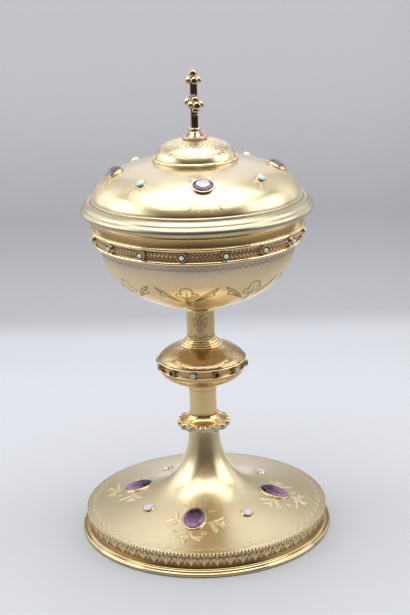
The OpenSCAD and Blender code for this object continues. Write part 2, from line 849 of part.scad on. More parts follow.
// The cross: square bars with a bud at each free end
module cross() {
    color(bright_gilt) translate([0, 0, cross_z]) rotate([0, 0, cross_turn]) {
        translate([-bar_w / 2, -bar_w / 2, -shaft_h])
            cube([bar_w, bar_w, shaft_h + top_arm_l + bar_w / 2]);
        translate([-bar_w / 2, -side_arm_l - bar_w / 2, -bar_w / 2])
            cube([bar_w, 2 * side_arm_l + bar_w, bar_w]);
        bud(top_arm_l);
        rotate([90, 0, 0]) bud(side_arm_l);
        rotate([-90, 0, 0]) bud(side_arm_l);
    }
}

foot_flange();
foot_gallery();
foot_beading();
foot_shell();
foot_amethyst_bezels();
foot_amethysts();
foot_opal_bezels();
foot_opals();
foot_washer();
foot_nut();
tie_rod();
stem_collar();
collar_bezels();
collar_turquoises();
lower_stem_sleeve();
knop_lower_shell();
knop_band();
knop_bezels();
knop_turquoises();
knop_garnets();
knop_upper_shell();
knop_top_ring();
upper_stem_sleeve();
cup_ring();
bowl_boss();
bowl();
bowl_band();
band_wires();
band_bezels();
band_pearls();
bowl_lip();
lid_rim();
lid_flange();
lid_shell();
lid_amethyst_bezels();
lid_amethysts();
lid_turquoise_bezels();
lid_turquoises();
cupola();
cupola_wire();
finial_base();
finial_nut();
cross();
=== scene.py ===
import math

import bpy
import numpy as np
from mathutils import Matrix, Vector


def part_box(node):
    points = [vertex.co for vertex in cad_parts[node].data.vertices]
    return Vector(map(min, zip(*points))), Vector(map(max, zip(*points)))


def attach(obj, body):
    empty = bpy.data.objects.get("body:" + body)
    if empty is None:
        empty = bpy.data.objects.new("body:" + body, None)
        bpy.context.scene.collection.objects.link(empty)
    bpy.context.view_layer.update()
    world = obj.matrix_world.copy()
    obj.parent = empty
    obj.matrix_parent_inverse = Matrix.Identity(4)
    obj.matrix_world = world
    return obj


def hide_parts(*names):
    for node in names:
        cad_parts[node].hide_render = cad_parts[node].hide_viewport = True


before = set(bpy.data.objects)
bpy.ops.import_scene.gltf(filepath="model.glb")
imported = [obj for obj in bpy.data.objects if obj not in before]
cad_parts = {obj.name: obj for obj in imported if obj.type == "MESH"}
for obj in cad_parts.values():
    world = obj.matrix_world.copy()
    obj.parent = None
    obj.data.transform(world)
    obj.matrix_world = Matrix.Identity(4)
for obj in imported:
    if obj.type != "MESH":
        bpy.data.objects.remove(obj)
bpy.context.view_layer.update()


# Base moulding of the foot: a polished silver-gilt ring, turned, that the whole stands on.
# A round nose, a cove and a small bead under the frieze. Soldered to the gallery wall.
def arc(cx, cy, radius, start, end, count=10):
    angles = np.radians(np.linspace(start, end, count))
    return [(cx + radius * math.cos(a), cy + radius * math.sin(a)) for a in angles]


def lathe(name, profile, around=192, relief=None, marks=None, sharp=40, finish=None):
    # A turned piece from (radius, height) rows in millimetres, outside on the right of its path.
    # Angles run from the front, positive to the viewer's right; relief is pushed along the normal.
    rows = np.asarray(profile, float)
    way = np.gradient(rows, axis=0)
    way /= np.maximum(np.linalg.norm(way, axis=1), 1e-9)[:, None]
    push = np.zeros((len(rows), around)) if relief is None else relief
    radius = rows[:, 0, None] + way[:, 1, None] * push
    height = rows[:, 1, None] - way[:, 0, None] * push
    turn = np.arange(around) * (2 * math.pi / around)
    points = np.stack([radius * np.sin(turn), -radius * np.cos(turn), height], -1)
    index = np.arange(len(rows) * around).reshape(len(rows), around)
    beside = np.roll(index, -1, axis=1)
    quads = np.stack([index[:-1], beside[:-1], beside[1:], index[1:]], -1).reshape(-1, 4)
    mesh = bpy.data.meshes.new(name)
    mesh.from_pydata((points.reshape(-1, 3) * 0.001).tolist(), [], quads.tolist())
    for key, values in (marks or {}).items():
        layer = mesh.attributes.new(key, "FLOAT", "POINT")
        layer.data.foreach_set("value", np.clip(values, 0, 1).astype(np.float32).ravel())
    mesh.shade_smooth()
    mesh.set_sharp_from_angle(angle=math.radians(sharp))
    mesh.materials.append(finish)
    obj = bpy.data.objects.new(name, mesh)
    bpy.context.scene.collection.objects.link(obj)
    return obj


def new_finish(name):
    # A new material, its node tree and the sockets of its shader.
    mat = bpy.data.materials.new(name)
    mat.use_nodes = True
    return mat, mat.node_tree, mat.node_tree.nodes["Principled BSDF"].inputs


def feed(tree, socket, value):
    # Links an output to a socket, or sets a number or a tone on it.
    if isinstance(value, bpy.types.NodeSocket):
        tree.links.new(value, socket)
    else:
        socket.default_value = (*value, 1) if isinstance(value, tuple) else value


def blend(tree, before, after, amount, kind="MIX"):
    # Two tones mixed by an amount.
    mix = tree.nodes.new("ShaderNodeMix")
    mix.data_type = "RGBA"
    mix.blend_type = kind
    for key, value in (("Factor", amount), ("A", before), ("B", after)):
        feed(tree, mix.inputs[key], value)
    return mix.outputs["Result"]


def noise(tree, scale, detail=2.0):
    # A cloudy pattern that stays with the piece.
    place = tree.nodes.new("ShaderNodeTexCoord")
    cloud = tree.nodes.new("ShaderNodeTexNoise")
    cloud.inputs["Scale"].default_value = scale
    cloud.inputs["Detail"].default_value = detail
    tree.links.new(place.outputs["Object"], cloud.inputs["Vector"])
    return cloud.outputs["Fac"]


def spread(tree, value, low, high, start=0.0, stop=1.0, way="LINEAR"):
    # A value carried from the range start to stop into the range low to high.
    ramp = tree.nodes.new("ShaderNodeMapRange")
    ramp.interpolation_type = way
    for key, number in (("From Min", start), ("From Max", stop), ("To Min", low), ("To Max", high)):
        ramp.inputs[key].default_value = number
    tree.links.new(value, ramp.inputs["Value"])
    return ramp.outputs["Result"]


def mark(tree, key):
    # A value that the mesh carries at its points.
    layer = tree.nodes.new("ShaderNodeAttribute")
    layer.attribute_name = key
    return layer.outputs["Fac"]


def reckon(tree, operation, *values, clamp=False):
    # One step of arithmetic.
    step = tree.nodes.new("ShaderNodeMath")
    step.operation = operation
    step.use_clamp = clamp
    for socket, value in zip(step.inputs, values):
        feed(tree, socket, value)
    return step.outputs["Value"]


def gilding(name, tone, dull, rough, grain=0.0, tarnish=0.35, coat=0.0, film_tone=(0.52, 0.44, 0.43)):
    # Gilt metal: its tone drifts a little; cut lines and painted shade (one attribute) are dull and
    # dark, leaves and ridges (another) get a painted pale sheen and are more matt, tarnish (attribute
    # "haze") is a thin film.
    # A clear lacquer (coat) shows at flat angles.
    mat, tree, shader = new_finish(name)
    shader["Metallic"].default_value = 1.0
    shader["Coat Weight"].default_value = coat
    shader["Coat Roughness"].default_value = 0.15
    duller = tuple(0.5 * (t + d) for t, d in zip(tone, dull))
    # Dark tone for cut lines and painted shade; pale tone for the painted sheen on leaves and ridges.
    line_and_shade_tone = tuple(0.42 * d for d in dull)
    leaf_sheen_tone = (0.96, 0.80, 0.50)
    clouds = spread(tree, noise(tree, 22.0, 4.0), 0.0, tarnish, 0.42, 0.75)
    tones = blend(tree, tone, duller, clouds)
    tones = blend(tree, tones, film_tone, mark(tree, "haze"))
    tones = blend(tree, tones, line_and_shade_tone, mark(tree, "cut"))
    tones = blend(tree, tones, leaf_sheen_tone, mark(tree, "leaf_sheen"))
    tree.links.new(tones, shader["Base Color"])
    fine = noise(tree, 900.0)
    uneven = spread(tree, fine, 0.85 * rough, 1.15 * rough)
    matt = reckon(tree, "MULTIPLY_ADD", mark(tree, "leaf_sheen"), 0.25, uneven)
    tree.links.new(matt, shader["Roughness"])
    if grain:
        bump = tree.nodes.new("ShaderNodeBump")
        bump.inputs["Strength"].default_value = grain
        bump.inputs["Distance"].default_value = 0.0002
        tree.links.new(fine, bump.inputs["Height"])
        tree.links.new(bump.outputs["Normal"], shader["Normal"])
    return mat


polished = gilding("polished gilding", (0.89, 0.76, 0.48), (0.58, 0.43, 0.20), 0.12, tarnish=0.25)
flange_gilt = gilding("flange gilding", (0.65, 0.525, 0.305), (0.42, 0.30, 0.135), 0.14, tarnish=0.25)
flange = lathe("base_moulding", [(59.9, 3.7), (59.9, 0.0)]
               + [(64.6, 0.0)] + arc(64.36, 1.14, 1.14, -75, 70, 14)
               + arc(65.27, 2.9, 1.37, 235, 185, 8) + arc(63.1, 3.35, 0.45, -40, 90, 8)
               + [(62.5, 3.8), (59.9, 3.8)], around=256, finish=flange_gilt)
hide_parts("foot_flange")
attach(flange, "ciborium_base")


# Gallery wall with a stamped leaf frieze: a strip of silver-gilt rolled into a ring and soldered
# between moulding and foot plate. Each motif is a hanging drop between two round lobes, with
# small petals above; the ground is painted dark brown as shade, darkest in the hollows between
# the motifs and along the bottom.
frieze_count = 60
frieze_turn = 4.2
frieze_r = 61.9
frieze_low, frieze_high = 3.8, 10.6
satin = gilding("satin gilding", (0.755, 0.655, 0.42), (0.49, 0.39, 0.215), 0.31, grain=0.08,
                coat=0.5)
stamped = gilding("stamped frieze", (0.78, 0.63, 0.39), (0.44, 0.30, 0.15), 0.34, grain=0.1)
frieze_steps = frieze_count * 20
frieze_rows = np.linspace(frieze_low, frieze_high, 36)
sector = 360 / frieze_count
across = (np.arange(frieze_steps) * 360 / frieze_steps - frieze_turn + sector / 2) % sector - sector / 2
u, v = np.meshgrid(np.radians(across) * frieze_r, frieze_rows - frieze_low)


def petal(u, v, start, tip, wide):
    # One inside a pointed petal between two points, falling to nothing at its edge.
    du, dv = tip[0] - start[0], tip[1] - start[1]
    long = math.hypot(du, dv)
    along = ((u - start[0]) * du + (v - start[1]) * dv) / long ** 2
    aside = np.abs((u - start[0]) * dv - (v - start[1]) * du) / long
    half = 0.5 * wide * np.sin(np.pi * np.clip(along, 0, 1) ** 0.85) + 1e-6
    return np.where((along > 0) & (along < 1), np.clip(1 - (aside / half) ** 2, 0, 1), 0)


raised = petal(u, v, (0, 4.9), (0, 0.7), 1.7)
raised = np.maximum(raised, petal(u, v, (0, 4.5), (0, 6.7), 1.3))
# Painted shade along the bottom edge and in the hollows beside the lobes.
hollow_shade = np.clip(0.8 - v, 0, 0.4)
for side in (-1, 1):
    lobe = 1 - ((u - side * 1.7) / 1.4) ** 2 - ((v - 4.3) / 1.1) ** 2
    raised = np.maximum(raised, np.clip(lobe, 0, 1))
    raised = np.maximum(raised, petal(u, v, (0, 2.6), (side * 1.8, 3.1), 1.0))
    raised = np.maximum(raised, 0.6 * petal(u, v, (side * 3.24, 4.0), (side * 3.24, 1.6), 1.5))
    raised = np.maximum(raised, petal(u, v, (side * 2.7, 5.2), (side * 3.0, 7.2), 1.3))
    hollow_shade = np.maximum(hollow_shade, np.clip(1.3 - np.hypot(u - side * 3.24, v - 4.8) / 0.7, 0, 1))
raised = np.sqrt(raised)
# Where nothing is raised the ground is painted dark as shade.
frieze = lathe("leaf_frieze", [(frieze_r, z) for z in frieze_rows], frieze_steps,
               relief=0.45 * raised - 0.25,
               marks={"cut": np.maximum(0.85 - 0.85 * raised, hollow_shade)}, finish=stamped)
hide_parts("foot_gallery")
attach(frieze, "ciborium_base")
backing = lathe("gallery_wall_inside", [(60.7, 10.9), (60.7, 3.8)], 128, finish=satin)
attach(backing, "ciborium_base")


# Milled edge of the foot plate: a silver-gilt wire with rounded teeth round the plate's edge, level
# with its top and polished by wear. It hides the joint between the plate and the gallery wall.
bead_count = 212
bead_low, bead_high = 10.2, 11.95
bead_turn = np.arange(bead_count * 8) % 8 / 8 - 0.5
bead_rise = np.linspace(-1, 1, 14)
bulge = np.sqrt(np.clip(1 - (bead_turn * 2 / 0.8) ** 2, 0, 1))[None, :] \
    * np.sqrt(np.clip(1.0 - np.abs(bead_rise) ** 3, 0, 1))[:, None]
# The gaps between the teeth are painted dark as shade.
beads = lathe("milled_edge", [(62.55, bead_low + 0.5 * (b + 1) * (bead_high - bead_low))
                              for b in bead_rise], bead_count * 8,
              relief=0.65 * bulge, marks={"cut": 0.95 - 1.3 * bulge}, sharp=70, finish=polished)
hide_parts("foot_beading")
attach(beads, "ciborium_base")


# Foot plate and trumpet: one spun piece of silver-gilt with a satin face. Leaf sprays are chased
# round each amethyst, a scalloped line runs inside the edge and a leaf border round the neck.
plate_r = 62.5
plate_z = 11.9
neck_r = 7.25
foot_wall = 1.2
stone_turn = -10.2
stone_r = 36.2
plate_slope = math.tan(math.radians(6.5))
flare_h, flare_bend = 38, 1.26


def foot_z(r):
    return plate_z + plate_slope * (plate_r - r) \
        + flare_h * ((neck_r / r) ** flare_bend - (neck_r / plate_r) ** flare_bend)


def stroke(u, v, line, wide):
    # One on a cut line through the given points, falling to nothing at half its width.
    gap = np.full(u.shape, 1e9)
    for (u0, v0), (u1, v1) in zip(line[:-1], line[1:]):
        du, dv = u1 - u0, v1 - v0
        t = np.clip(((u - u0) * du + (v - v0) * dv) / (du * du + dv * dv + 1e-12), 0, 1)
        gap = np.minimum(gap, np.hypot(u - u0 - t * du, v - v0 - t * dv))
    return np.clip(1.3 - gap / (0.5 * wide), 0, 1)


def folded(around, count, turn):
    # Angles from the nearest of a number of equal sectors, in degrees.
    sector = 360 / count
    angle = np.arange(around) * 360 / around - turn
    return (angle + sector / 2) % sector - sector / 2


foot_around = 1024
foot_rows = np.concatenate([np.linspace(plate_r, 55, 26), np.linspace(54.7, 16, 125),
                            np.geomspace(15.6, neck_r, 30)])
foot_high = foot_z(foot_rows)
swing = np.radians(folded(foot_around, 4, stone_turn))
u = foot_rows[:, None] * np.sin(swing)[None, :]
v = foot_rows[:, None] * np.cos(swing)[None, :] - stone_r
spray = np.zeros(u.shape)
veins = np.zeros(u.shape)
for start, tip, wide in (
        ((6.0, 1.0), (10.0, 1.7), 0.8), ((9.4, 1.8), (16.8, 1.4), 1.3),
        ((9.2, 1.0), (13.0, -2.2), 1.1), ((12.2, -1.4), (14.4, -4.4), 0.9),
        ((9.0, 2.2), (11.2, 5.0), 1.4), ((10.4, 4.0), (12.8, 8.6), 1.6),
        ((12.8, 1.4), (15.4, -1.2), 0.9), ((13.0, 1.8), (15.6, 4.0), 0.9),
        ((0.6, 9.4), (0.4, 13.2), 0.9), ((0.4, 12.0), (5.8, 16.0), 1.7),
        ((2.6, 13.2), (6.6, 12.8), 1.1), ((-0.2, 12.2), (-2.4, 16.0), 1.3),
        ((-2.2, 14.8), (-5.0, 17.2), 1.1), ((-2.6, 15.0), (-2.4, 18.6), 1.1),
        ((-0.6, 11.6), (-5.6, 13.2), 1.2), ((-5.0, 13.2), (-11.0, 13.4), 1.0),
        ((-6.0, 1.4), (-9.6, -0.6), 0.8), ((-9.0, -0.4), (-15.0, 0.6), 1.3),
        ((-9.0, -1.0), (-10.4, -6.6), 1.2), ((-8.0, 1.6), (-13.8, 6.0), 1.3),
        ((-11.6, -0.2), (-13.6, -3.4), 0.9), ((-11.0, 4.0), (-14.8, 3.4), 0.8),
        ((-3.2, -7.4), (-4.6, -11.6), 1.5), ((-4.6, -6.8), (-8.0, -10.8), 1.4),
        ((-1.4, -8.4), (-0.6, -12.8), 1.1), ((3.6, -8.6), (4.2, -15.4), 1.2),
        ((6.2, -6.6), (10.4, -8.0), 1.1), ((2.0, -8.8), (1.6, -13.0), 0.9)):
    spray = np.maximum(spray, petal(u, v, start, tip, 1.75 * wide))
    veins = np.maximum(veins, stroke(u, v, [start, tip], 0.4))
for ring_u, ring_v, ring_r in ((6.6, 9.6, 1.1), (7.4, -7.2, 1.0), (4.8, -10.2, 0.8), (9.0, -9.8, 0.7),
                               (-8.6, 9.2, 0.8)):
    circle = [(ring_u + p[0], ring_v + p[1]) for p in arc(0, 0, ring_r, 0, 300, 12)]
    spray = np.maximum(spray, 0.7 * stroke(u, v, circle, 0.6))
spray = np.sqrt(spray)
worn = np.clip((v + 9.5) / 5, 0.22, 1)
scallops = 62
swing = folded(foot_around, scallops, 1.4)
wave = np.abs(swing) / (180 / scallops)
line_r = 60.1 - 2.3 * wave ** 2.4
scallop = np.clip(1.3 - np.abs(foot_rows[:, None] - line_r[None, :]) / 0.36, 0, 1)
# Painted shade along the outer side of the scalloped line.
shade = np.clip(1.2 - np.abs(foot_rows[:, None] - line_r[None, :] - 0.62) / 0.3, 0, 1)
dot_r = 57.4
dot_arc = (180 / scallops - np.abs(swing))[None, :] * math.radians(dot_r)
dots = np.clip(1.3 - np.hypot(foot_rows[:, None] - dot_r, dot_arc) / 0.5, 0, 1)
swing = folded(foot_around, 10, 0)
neck_u = foot_rows[:, None] * np.radians(swing)[None, :]
neck_v = np.repeat(foot_high[:, None] - 46.0, foot_around, axis=1)
border = np.maximum(petal(neck_u, neck_v, (0, 1.0), (0, 6.8), 3.2),
                    petal(neck_u, neck_v, (1.6, 7.0), (2.5, 2.6), 1.4))
border = np.maximum(border, petal(neck_u, neck_v, (-1.6, 7.0), (-2.5, 2.6), 1.4))
border_line = np.where((border > 0.02) & (border < 0.55), 1.0, 0.0)
rim_of_leaf = np.where((spray > 0.05) & (spray < 0.5), worn, 0.0)
spray = worn * spray
# Dark marks: cut lines, pits and the painted shade. Pale painted sheen: the leaves and the ridge of the
# scalloped line.
cut = np.maximum.reduce([0.35 * rim_of_leaf, 0.1 * veins, 0.25 * dots, 0.45 * shade, 0.25 * border_line])
leaf_sheen = np.maximum(0.6 * spray * (1 - rim_of_leaf), 0.6 * scallop)
foot = lathe("foot_plate_and_trumpet", [(plate_r, plate_z - foot_wall)]
             + list(zip(foot_rows, foot_high)), foot_around,
             relief=np.vstack([np.zeros(foot_around),
                               0.2 * spray + 0.12 * scallop - 0.08 * dots - 0.1 * border_line]),
             marks={"cut": np.vstack([np.zeros(foot_around), cut]),
                    "leaf_sheen": np.vstack([np.zeros(foot_around), leaf_sheen])}, sharp=50, finish=satin)
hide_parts("foot_shell")
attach(foot, "ciborium_base")
under = np.geomspace(neck_r, plate_r, 60)
tilt = np.arctan(-np.gradient(foot_z(under), under))
inside = lathe("foot_underside", list(zip(under - foot_wall * np.sin(tilt),
                                          foot_z(under) - foot_wall * np.cos(tilt)))
               + [(plate_r, plate_z - foot_wall)], 128, finish=satin)
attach(inside, "ciborium_base")


# Oval amethysts on the foot: violet quartz, faceted, each rubbed over by the thin wall of a gilt
# setting that is soldered to the slope. The ground under each stone is closed and dark.
def on_slope(turn, r, z, tilt):
    # Frame of a seat on a slope: X down the slope, Z along the normal.
    front = math.radians(turn)
    out = Vector((math.sin(front), -math.cos(front), 0))
    lean = math.radians(tilt)
    normal = out * math.sin(lean) + Vector((0, 0, 1)) * math.cos(lean)
    down = out * math.cos(lean) - Vector((0, 0, 1)) * math.sin(lean)
    side = normal.cross(down)
    place = Matrix((down, side, normal)).transposed().to_4x4()
    place.translation = Vector((out.x * r, out.y * r, z)) * 0.001
    return place


def joined(name, makers, places, material, smooth=True, sharp=40):
    # One object out of copies of a small mesh (points in millimetres, faces) in several places.
    # The attribute "outer" runs from nothing on the side towards the axis to one on the far side.
    points, faces, outer = [], [], []
    for (shape, ring), place in zip(makers, places):
        first = len(points)
        reach = max(abs(p[0]) for p in shape)
        outer += [0.5 + 0.5 * p[0] / reach for p in shape]
        points += [tuple(place @ (Vector(p) * 0.001)) for p in shape]
        faces += [[first + i for i in face] for face in ring]
    mesh = bpy.data.meshes.new(name)
    mesh.from_pydata(points, [], faces)
    mesh.attributes.new("outer", "FLOAT", "POINT").data.foreach_set("value", outer)
    if smooth:
        mesh.shade_smooth()
        mesh.set_sharp_from_angle(angle=math.radians(sharp))
    mesh.materials.append(material)
    obj = bpy.data.objects.new(name, mesh)
    bpy.context.scene.collection.objects.link(obj)
    return obj


def oval_rings(levels, count, cap_low=True, cap_high=True, twist=False):
    # Oval rings one above the other: rows of (half length, half width, height).
    points, faces = [], []
    for k, (a, b, z) in enumerate(levels):
        for i in range(count):
            t = 2 * math.pi * (i + (0.5 if twist and k % 2 else 0)) / count
            points.append((a * math.cos(t), b * math.sin(t), z))
    for k in range(len(levels) - 1):
        for i in range(count):
            p, q = k * count + i, k * count + (i + 1) % count
            r, s = p + count, q + count
            if not twist:
                faces.append((p, q, s, r))
            elif k % 2 == 0:
                faces += [(p, q, r), (q, s, r)]
            else:
                faces += [(p, s, r), (p, q, s)]
    if cap_low:
        faces.append(tuple(range(count - 1, -1, -1)))
    if cap_high:
        faces.append(tuple((len(levels) - 1) * count + i for i in range(count)))
    return points, faces


def gem(name, colour, shade_tone, rough=0.02, clear=1.0, shine=0.3):
    # A stone of tinted glass with painted light: light and dark patches for facet glints, painted shade
    # on the side towards the axis.
    mat, tree, shader = new_finish(name)
    shader["Transmission Weight"].default_value = clear
    shader["IOR"].default_value = 1.55
    shader["Specular IOR Level"].default_value = shine
    glint_zones = noise(tree, 380.0)
    glint_patch = reckon(tree, "MULTIPLY_ADD", glint_zones, 1.1, -0.9)
    lit = reckon(tree, "MULTIPLY_ADD", mark(tree, "outer"), 1.5, glint_patch, clamp=True)
    tree.links.new(blend(tree, shade_tone, colour, lit), shader["Base Color"])
    tree.links.new(spread(tree, glint_zones, rough, 1.6 * rough), shader["Roughness"])
    return mat


def setting(length, width, rim, wall=0.55, foot_depth=1.2):
    # The wall of a setting: it rises from below the ground, leans in over the stone at its rim.
    a, b = length / 2, width / 2
    return oval_rings([(a + wall + 0.25, b + wall + 0.25, -foot_depth),
                       (a + wall + 0.2, b + wall + 0.2, 0.15), (a + wall, b + wall, 0.35),
                       (a + 0.85 * wall, b + 0.85 * wall, rim - 0.25), (a + wall / 2, b + wall / 2, rim),
                       (a - 0.1, b - 0.1, rim + 0.02), (a - 0.15, b - 0.15, rim - 0.3),
                       (a, b, rim - 0.4), (a, b, 0.1)], 48, False, True)


def cut_oval(length, width):
    # A faceted oval: pavilion, girdle, two rows of crown facets and the table.
    a, b = length / 2, width / 2
    return oval_rings([(a - 3.2, b - 3.2, 0.1), (a - 0.05, b - 0.05, 1.0), (a - 0.05, b - 0.05, 1.25),
                       (a - 0.9, b - 0.9, 1.95), (a - 1.9, b - 1.9, 2.35)], 16, twist=True)


foot_oval = (15, 10.6)
deep_violet = gem("foot amethyst", (0.84, 0.50, 0.95), (0.06, 0.015, 0.08), clear=0.8, shine=0.12)
setting_gilt = gilding("setting gilding", (0.60, 0.48, 0.30), (0.34, 0.24, 0.13), 0.24)
foot_tilt = math.degrees(math.atan(-(foot_z(stone_r + 0.1) - foot_z(stone_r - 0.1)) / 0.2))
seats = [on_slope(stone_turn + 90 * k, stone_r, foot_z(stone_r), foot_tilt) for k in range(4)]
foot_settings = joined("foot_amethyst_settings", [setting(*foot_oval, 1.05, 0.9)] * 4, seats,
                       setting_gilt)
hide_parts("foot_amethyst_bezels")
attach(foot_settings, "ciborium_base")
foot_gems = joined("foot_amethysts", [cut_oval(*foot_oval)] * 4, seats, deep_violet, smooth=False)
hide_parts("foot_amethysts")
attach(foot_gems, "ciborium_base")


# Small pale opals between the amethysts: milky domed stones, polished. Each sits in a round gilt
# setting that is soldered to the slope of the foot.
def dome(stone_d, low, rise):
    # A round domed stone from a flat base.
    r = stone_d / 2
    rows = [(r, r, low), (r, r, low + 0.3)]
    for a in range(15, 90, 15):
        t = math.radians(a)
        rows.append((r * math.cos(t), r * math.cos(t), low + 0.3 + rise * math.sin(t)))
    return oval_rings(rows, 24)


opal_d = 5.2
milky = gem("opal", (0.86, 0.86, 0.90), (0.66, 0.66, 0.78), rough=0.08, clear=0.25)
seats = [on_slope(stone_turn + 45 + 90 * k, stone_r, foot_z(stone_r), foot_tilt) for k in range(4)]
opal_settings = joined("foot_opal_settings", [setting(opal_d, opal_d, 0.8, 0.5)] * 4, seats,
                       setting_gilt)
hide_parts("foot_opal_bezels")
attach(opal_settings, "ciborium_base")
opals = joined("foot_opals", [dome(opal_d, 0.4, 1.0)] * 4, seats, milky, sharp=70)
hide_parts("foot_opals")
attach(opals, "ciborium_base")


# Rod, nuts, washer and socket inside: plain machined steel. The rod draws foot, stem and bowl
# together, and the second nut holds the finial from inside the lid.
steel, steel_tree, steel_shader = new_finish("machined steel")
steel_shader["Metallic"].default_value = 1.0
steel_shader["Roughness"].default_value = 0.4
turned_tone = blend(steel_tree, (0.50, 0.48, 0.45), (0.36, 0.33, 0.29), noise(steel_tree, 300.0))
steel_tree.links.new(turned_tone, steel_shader["Base Color"])
for inner in ("foot_washer", "foot_nut", "tie_rod", "bowl_boss", "finial_nut"):
    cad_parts[inner].data.materials.clear()
    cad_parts[inner].data.materials.append(steel)


# Collar on the neck: a polished turned ring with small turquoises round its rim, each in a
# round gilt setting whose top breaks the rim's outline into scallops.
collar_z = 53.7
collar_r = 12.7
collar_stones_round = 16
collar_turn = -13.7
collar_stone_d = 2.4
collar_gilt = gilding("collar gilding", (0.68, 0.50, 0.25), (0.36, 0.22, 0.10), 0.23, tarnish=0.5)
collar = lathe("stone_set_collar", [(5.7, collar_z), (8.4, collar_z)]
               + [(8.4 + 3.9 * (1 - math.cos(math.radians(t))),
                   collar_z + 1.2 * math.sin(math.radians(t))) for t in range(10, 91, 10)]
               + [(collar_r, collar_z + 1.4), (collar_r, collar_z + 4.0)]
               + arc(collar_r - 0.75, collar_z + 4.05, 0.75, 0, 180, 12)
               + [(7.25 + 3.55 * (1 - t) ** 2.6, collar_z + 4.5 + 5.2 * t)
                  for t in np.linspace(0, 1, 16)]
               + [(5.7, collar_z + 9.7)], around=160, finish=collar_gilt)
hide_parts("stem_collar")
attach(collar, "ciborium_base")


def stone(name, colour, vein, rough=0.16):
    # An opaque polished stone with a little mottling.
    mat, tree, shader = new_finish(name)
    shader["Roughness"].default_value = rough
    shader["Coat Weight"].default_value = 0.6
    shader["Coat Roughness"].default_value = 0.05
    tree.links.new(blend(tree, colour, vein, noise(tree, 700.0, 3.0)), shader["Base Color"])
    return mat


pale_blue = stone("blue turquoise", (0.36, 0.59, 0.63), (0.20, 0.39, 0.45))
shaded_gilt = gilding("settings in painted shade", (0.40, 0.29, 0.16), (0.16, 0.10, 0.05), 0.32)
seats = [on_slope(collar_turn + 360 / collar_stones_round * k, collar_r, collar_z + 3.0, 90)
         for k in range(collar_stones_round)]
collar_wall = setting(collar_stone_d, collar_stone_d, 0.9, 0.5, 0.3)
collar_settings = joined("collar_settings", [collar_wall] * collar_stones_round, seats, collar_gilt)
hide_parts("collar_bezels")
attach(collar_settings, "ciborium_base")
collar_stones = joined("collar_turquoises", [dome(collar_stone_d, 0.3, 0.7)] * collar_stones_round,
                       seats, pale_blue, sharp=70)
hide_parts("collar_turquoises")
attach(collar_stones, "ciborium_base")


# Lower sleeve of the stem: a plain satin tube of silver-gilt over the rod, with one turned line
# near its top. It is held between the collar and the knop.
lower_r = 7.1
stem_gilt = gilding("stem gilding", (0.72, 0.555, 0.29), (0.45, 0.31, 0.145), 0.21, grain=0.05)
sleeve = lathe("lower_sleeve", [(lower_r, 63.4), (lower_r, 75.0), (lower_r + 0.2, 75.1),
                                (lower_r + 0.2, 75.6), (lower_r, 75.7), (lower_r, 78.6)], 96,
               finish=stem_gilt)
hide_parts("lower_stem_sleeve")
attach(sleeve, "ciborium_base")


# Knop: two polished shells and a band with a groove for the settings, soldered together and
# threaded on the rod. The upper shell is engraved with scrolls and a row of roundels.
knop_r = 22.1
knop_low_z, knop_up_z = 87.37, 92.37
# Its tone is set darker than the other gilding: painted shade from the bowl above.
knop_gilt = gilding("knop gilding", (0.60, 0.445, 0.25), (0.29, 0.18, 0.085), 0.2, grain=0.08,
                    tarnish=0.6)


def swell(r, a, n):
    return max(0.0, 1 - (r / a) ** n) ** (1 / n)


shell = [(r, knop_low_z - 9.5 * swell(r, knop_r, 1.85))
         for r in knop_r - (knop_r - 7.45) * (np.linspace(1, 0, 40) ** 1.8)]
lower_shell = lathe("knop_lower_shell", [(3.1, shell[0][1])] + shell, 192, finish=knop_gilt)
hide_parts("knop_lower_shell")
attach(lower_shell, "ciborium_base")
groove_r = knop_r - 0.9
groove_tone = gilding("groove gilding", (0.60, 0.38, 0.24), (0.28, 0.14, 0.09), 0.25)
band = lathe("knop_groove", [(groove_r, knop_low_z + 0.6), (groove_r, knop_up_z - 0.7)], 128,
             finish=groove_tone)
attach(band, "ciborium_base")
fillets = lathe("knop_fillets", arc(knop_r - 0.1, knop_low_z + 0.35, 0.35, -90, 90, 10)
                + [(groove_r, knop_low_z + 0.72)], 192, finish=polished)
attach(fillets, "ciborium_base")
top_fillet = lathe("knop_upper_fillet", [(groove_r, knop_up_z - 0.85)]
                   + arc(knop_r + 0.2, knop_up_z - 0.4, 0.45, -90, 90, 10), 192, finish=polished)
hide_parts("knop_band")
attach(top_fillet, "ciborium_base")
knop_around = 640
knop_rows = knop_r - (knop_r - 11.0) * (np.linspace(0, 1, 70) ** 1.5)
knop_high = np.array([knop_up_z + 9.1 * swell(r, knop_r, 1.64) for r in knop_rows])
run = np.concatenate([[0], np.cumsum(np.hypot(np.diff(knop_rows), np.diff(knop_high)))])
swing = np.radians(folded(knop_around, 6, 12))
u = knop_rows[:, None] * swing[None, :]
v = np.repeat(run[:, None], knop_around, axis=1)


def engraved(u, v, lines, wide):
    # Cut lines through the given points, each with its mirror image.
    found = np.zeros(u.shape)
    for line in lines:
        for side in (-1, 1):
            found = np.maximum(found, stroke(u, v, [(side * a, b) for a, b in line], wide))
    return found


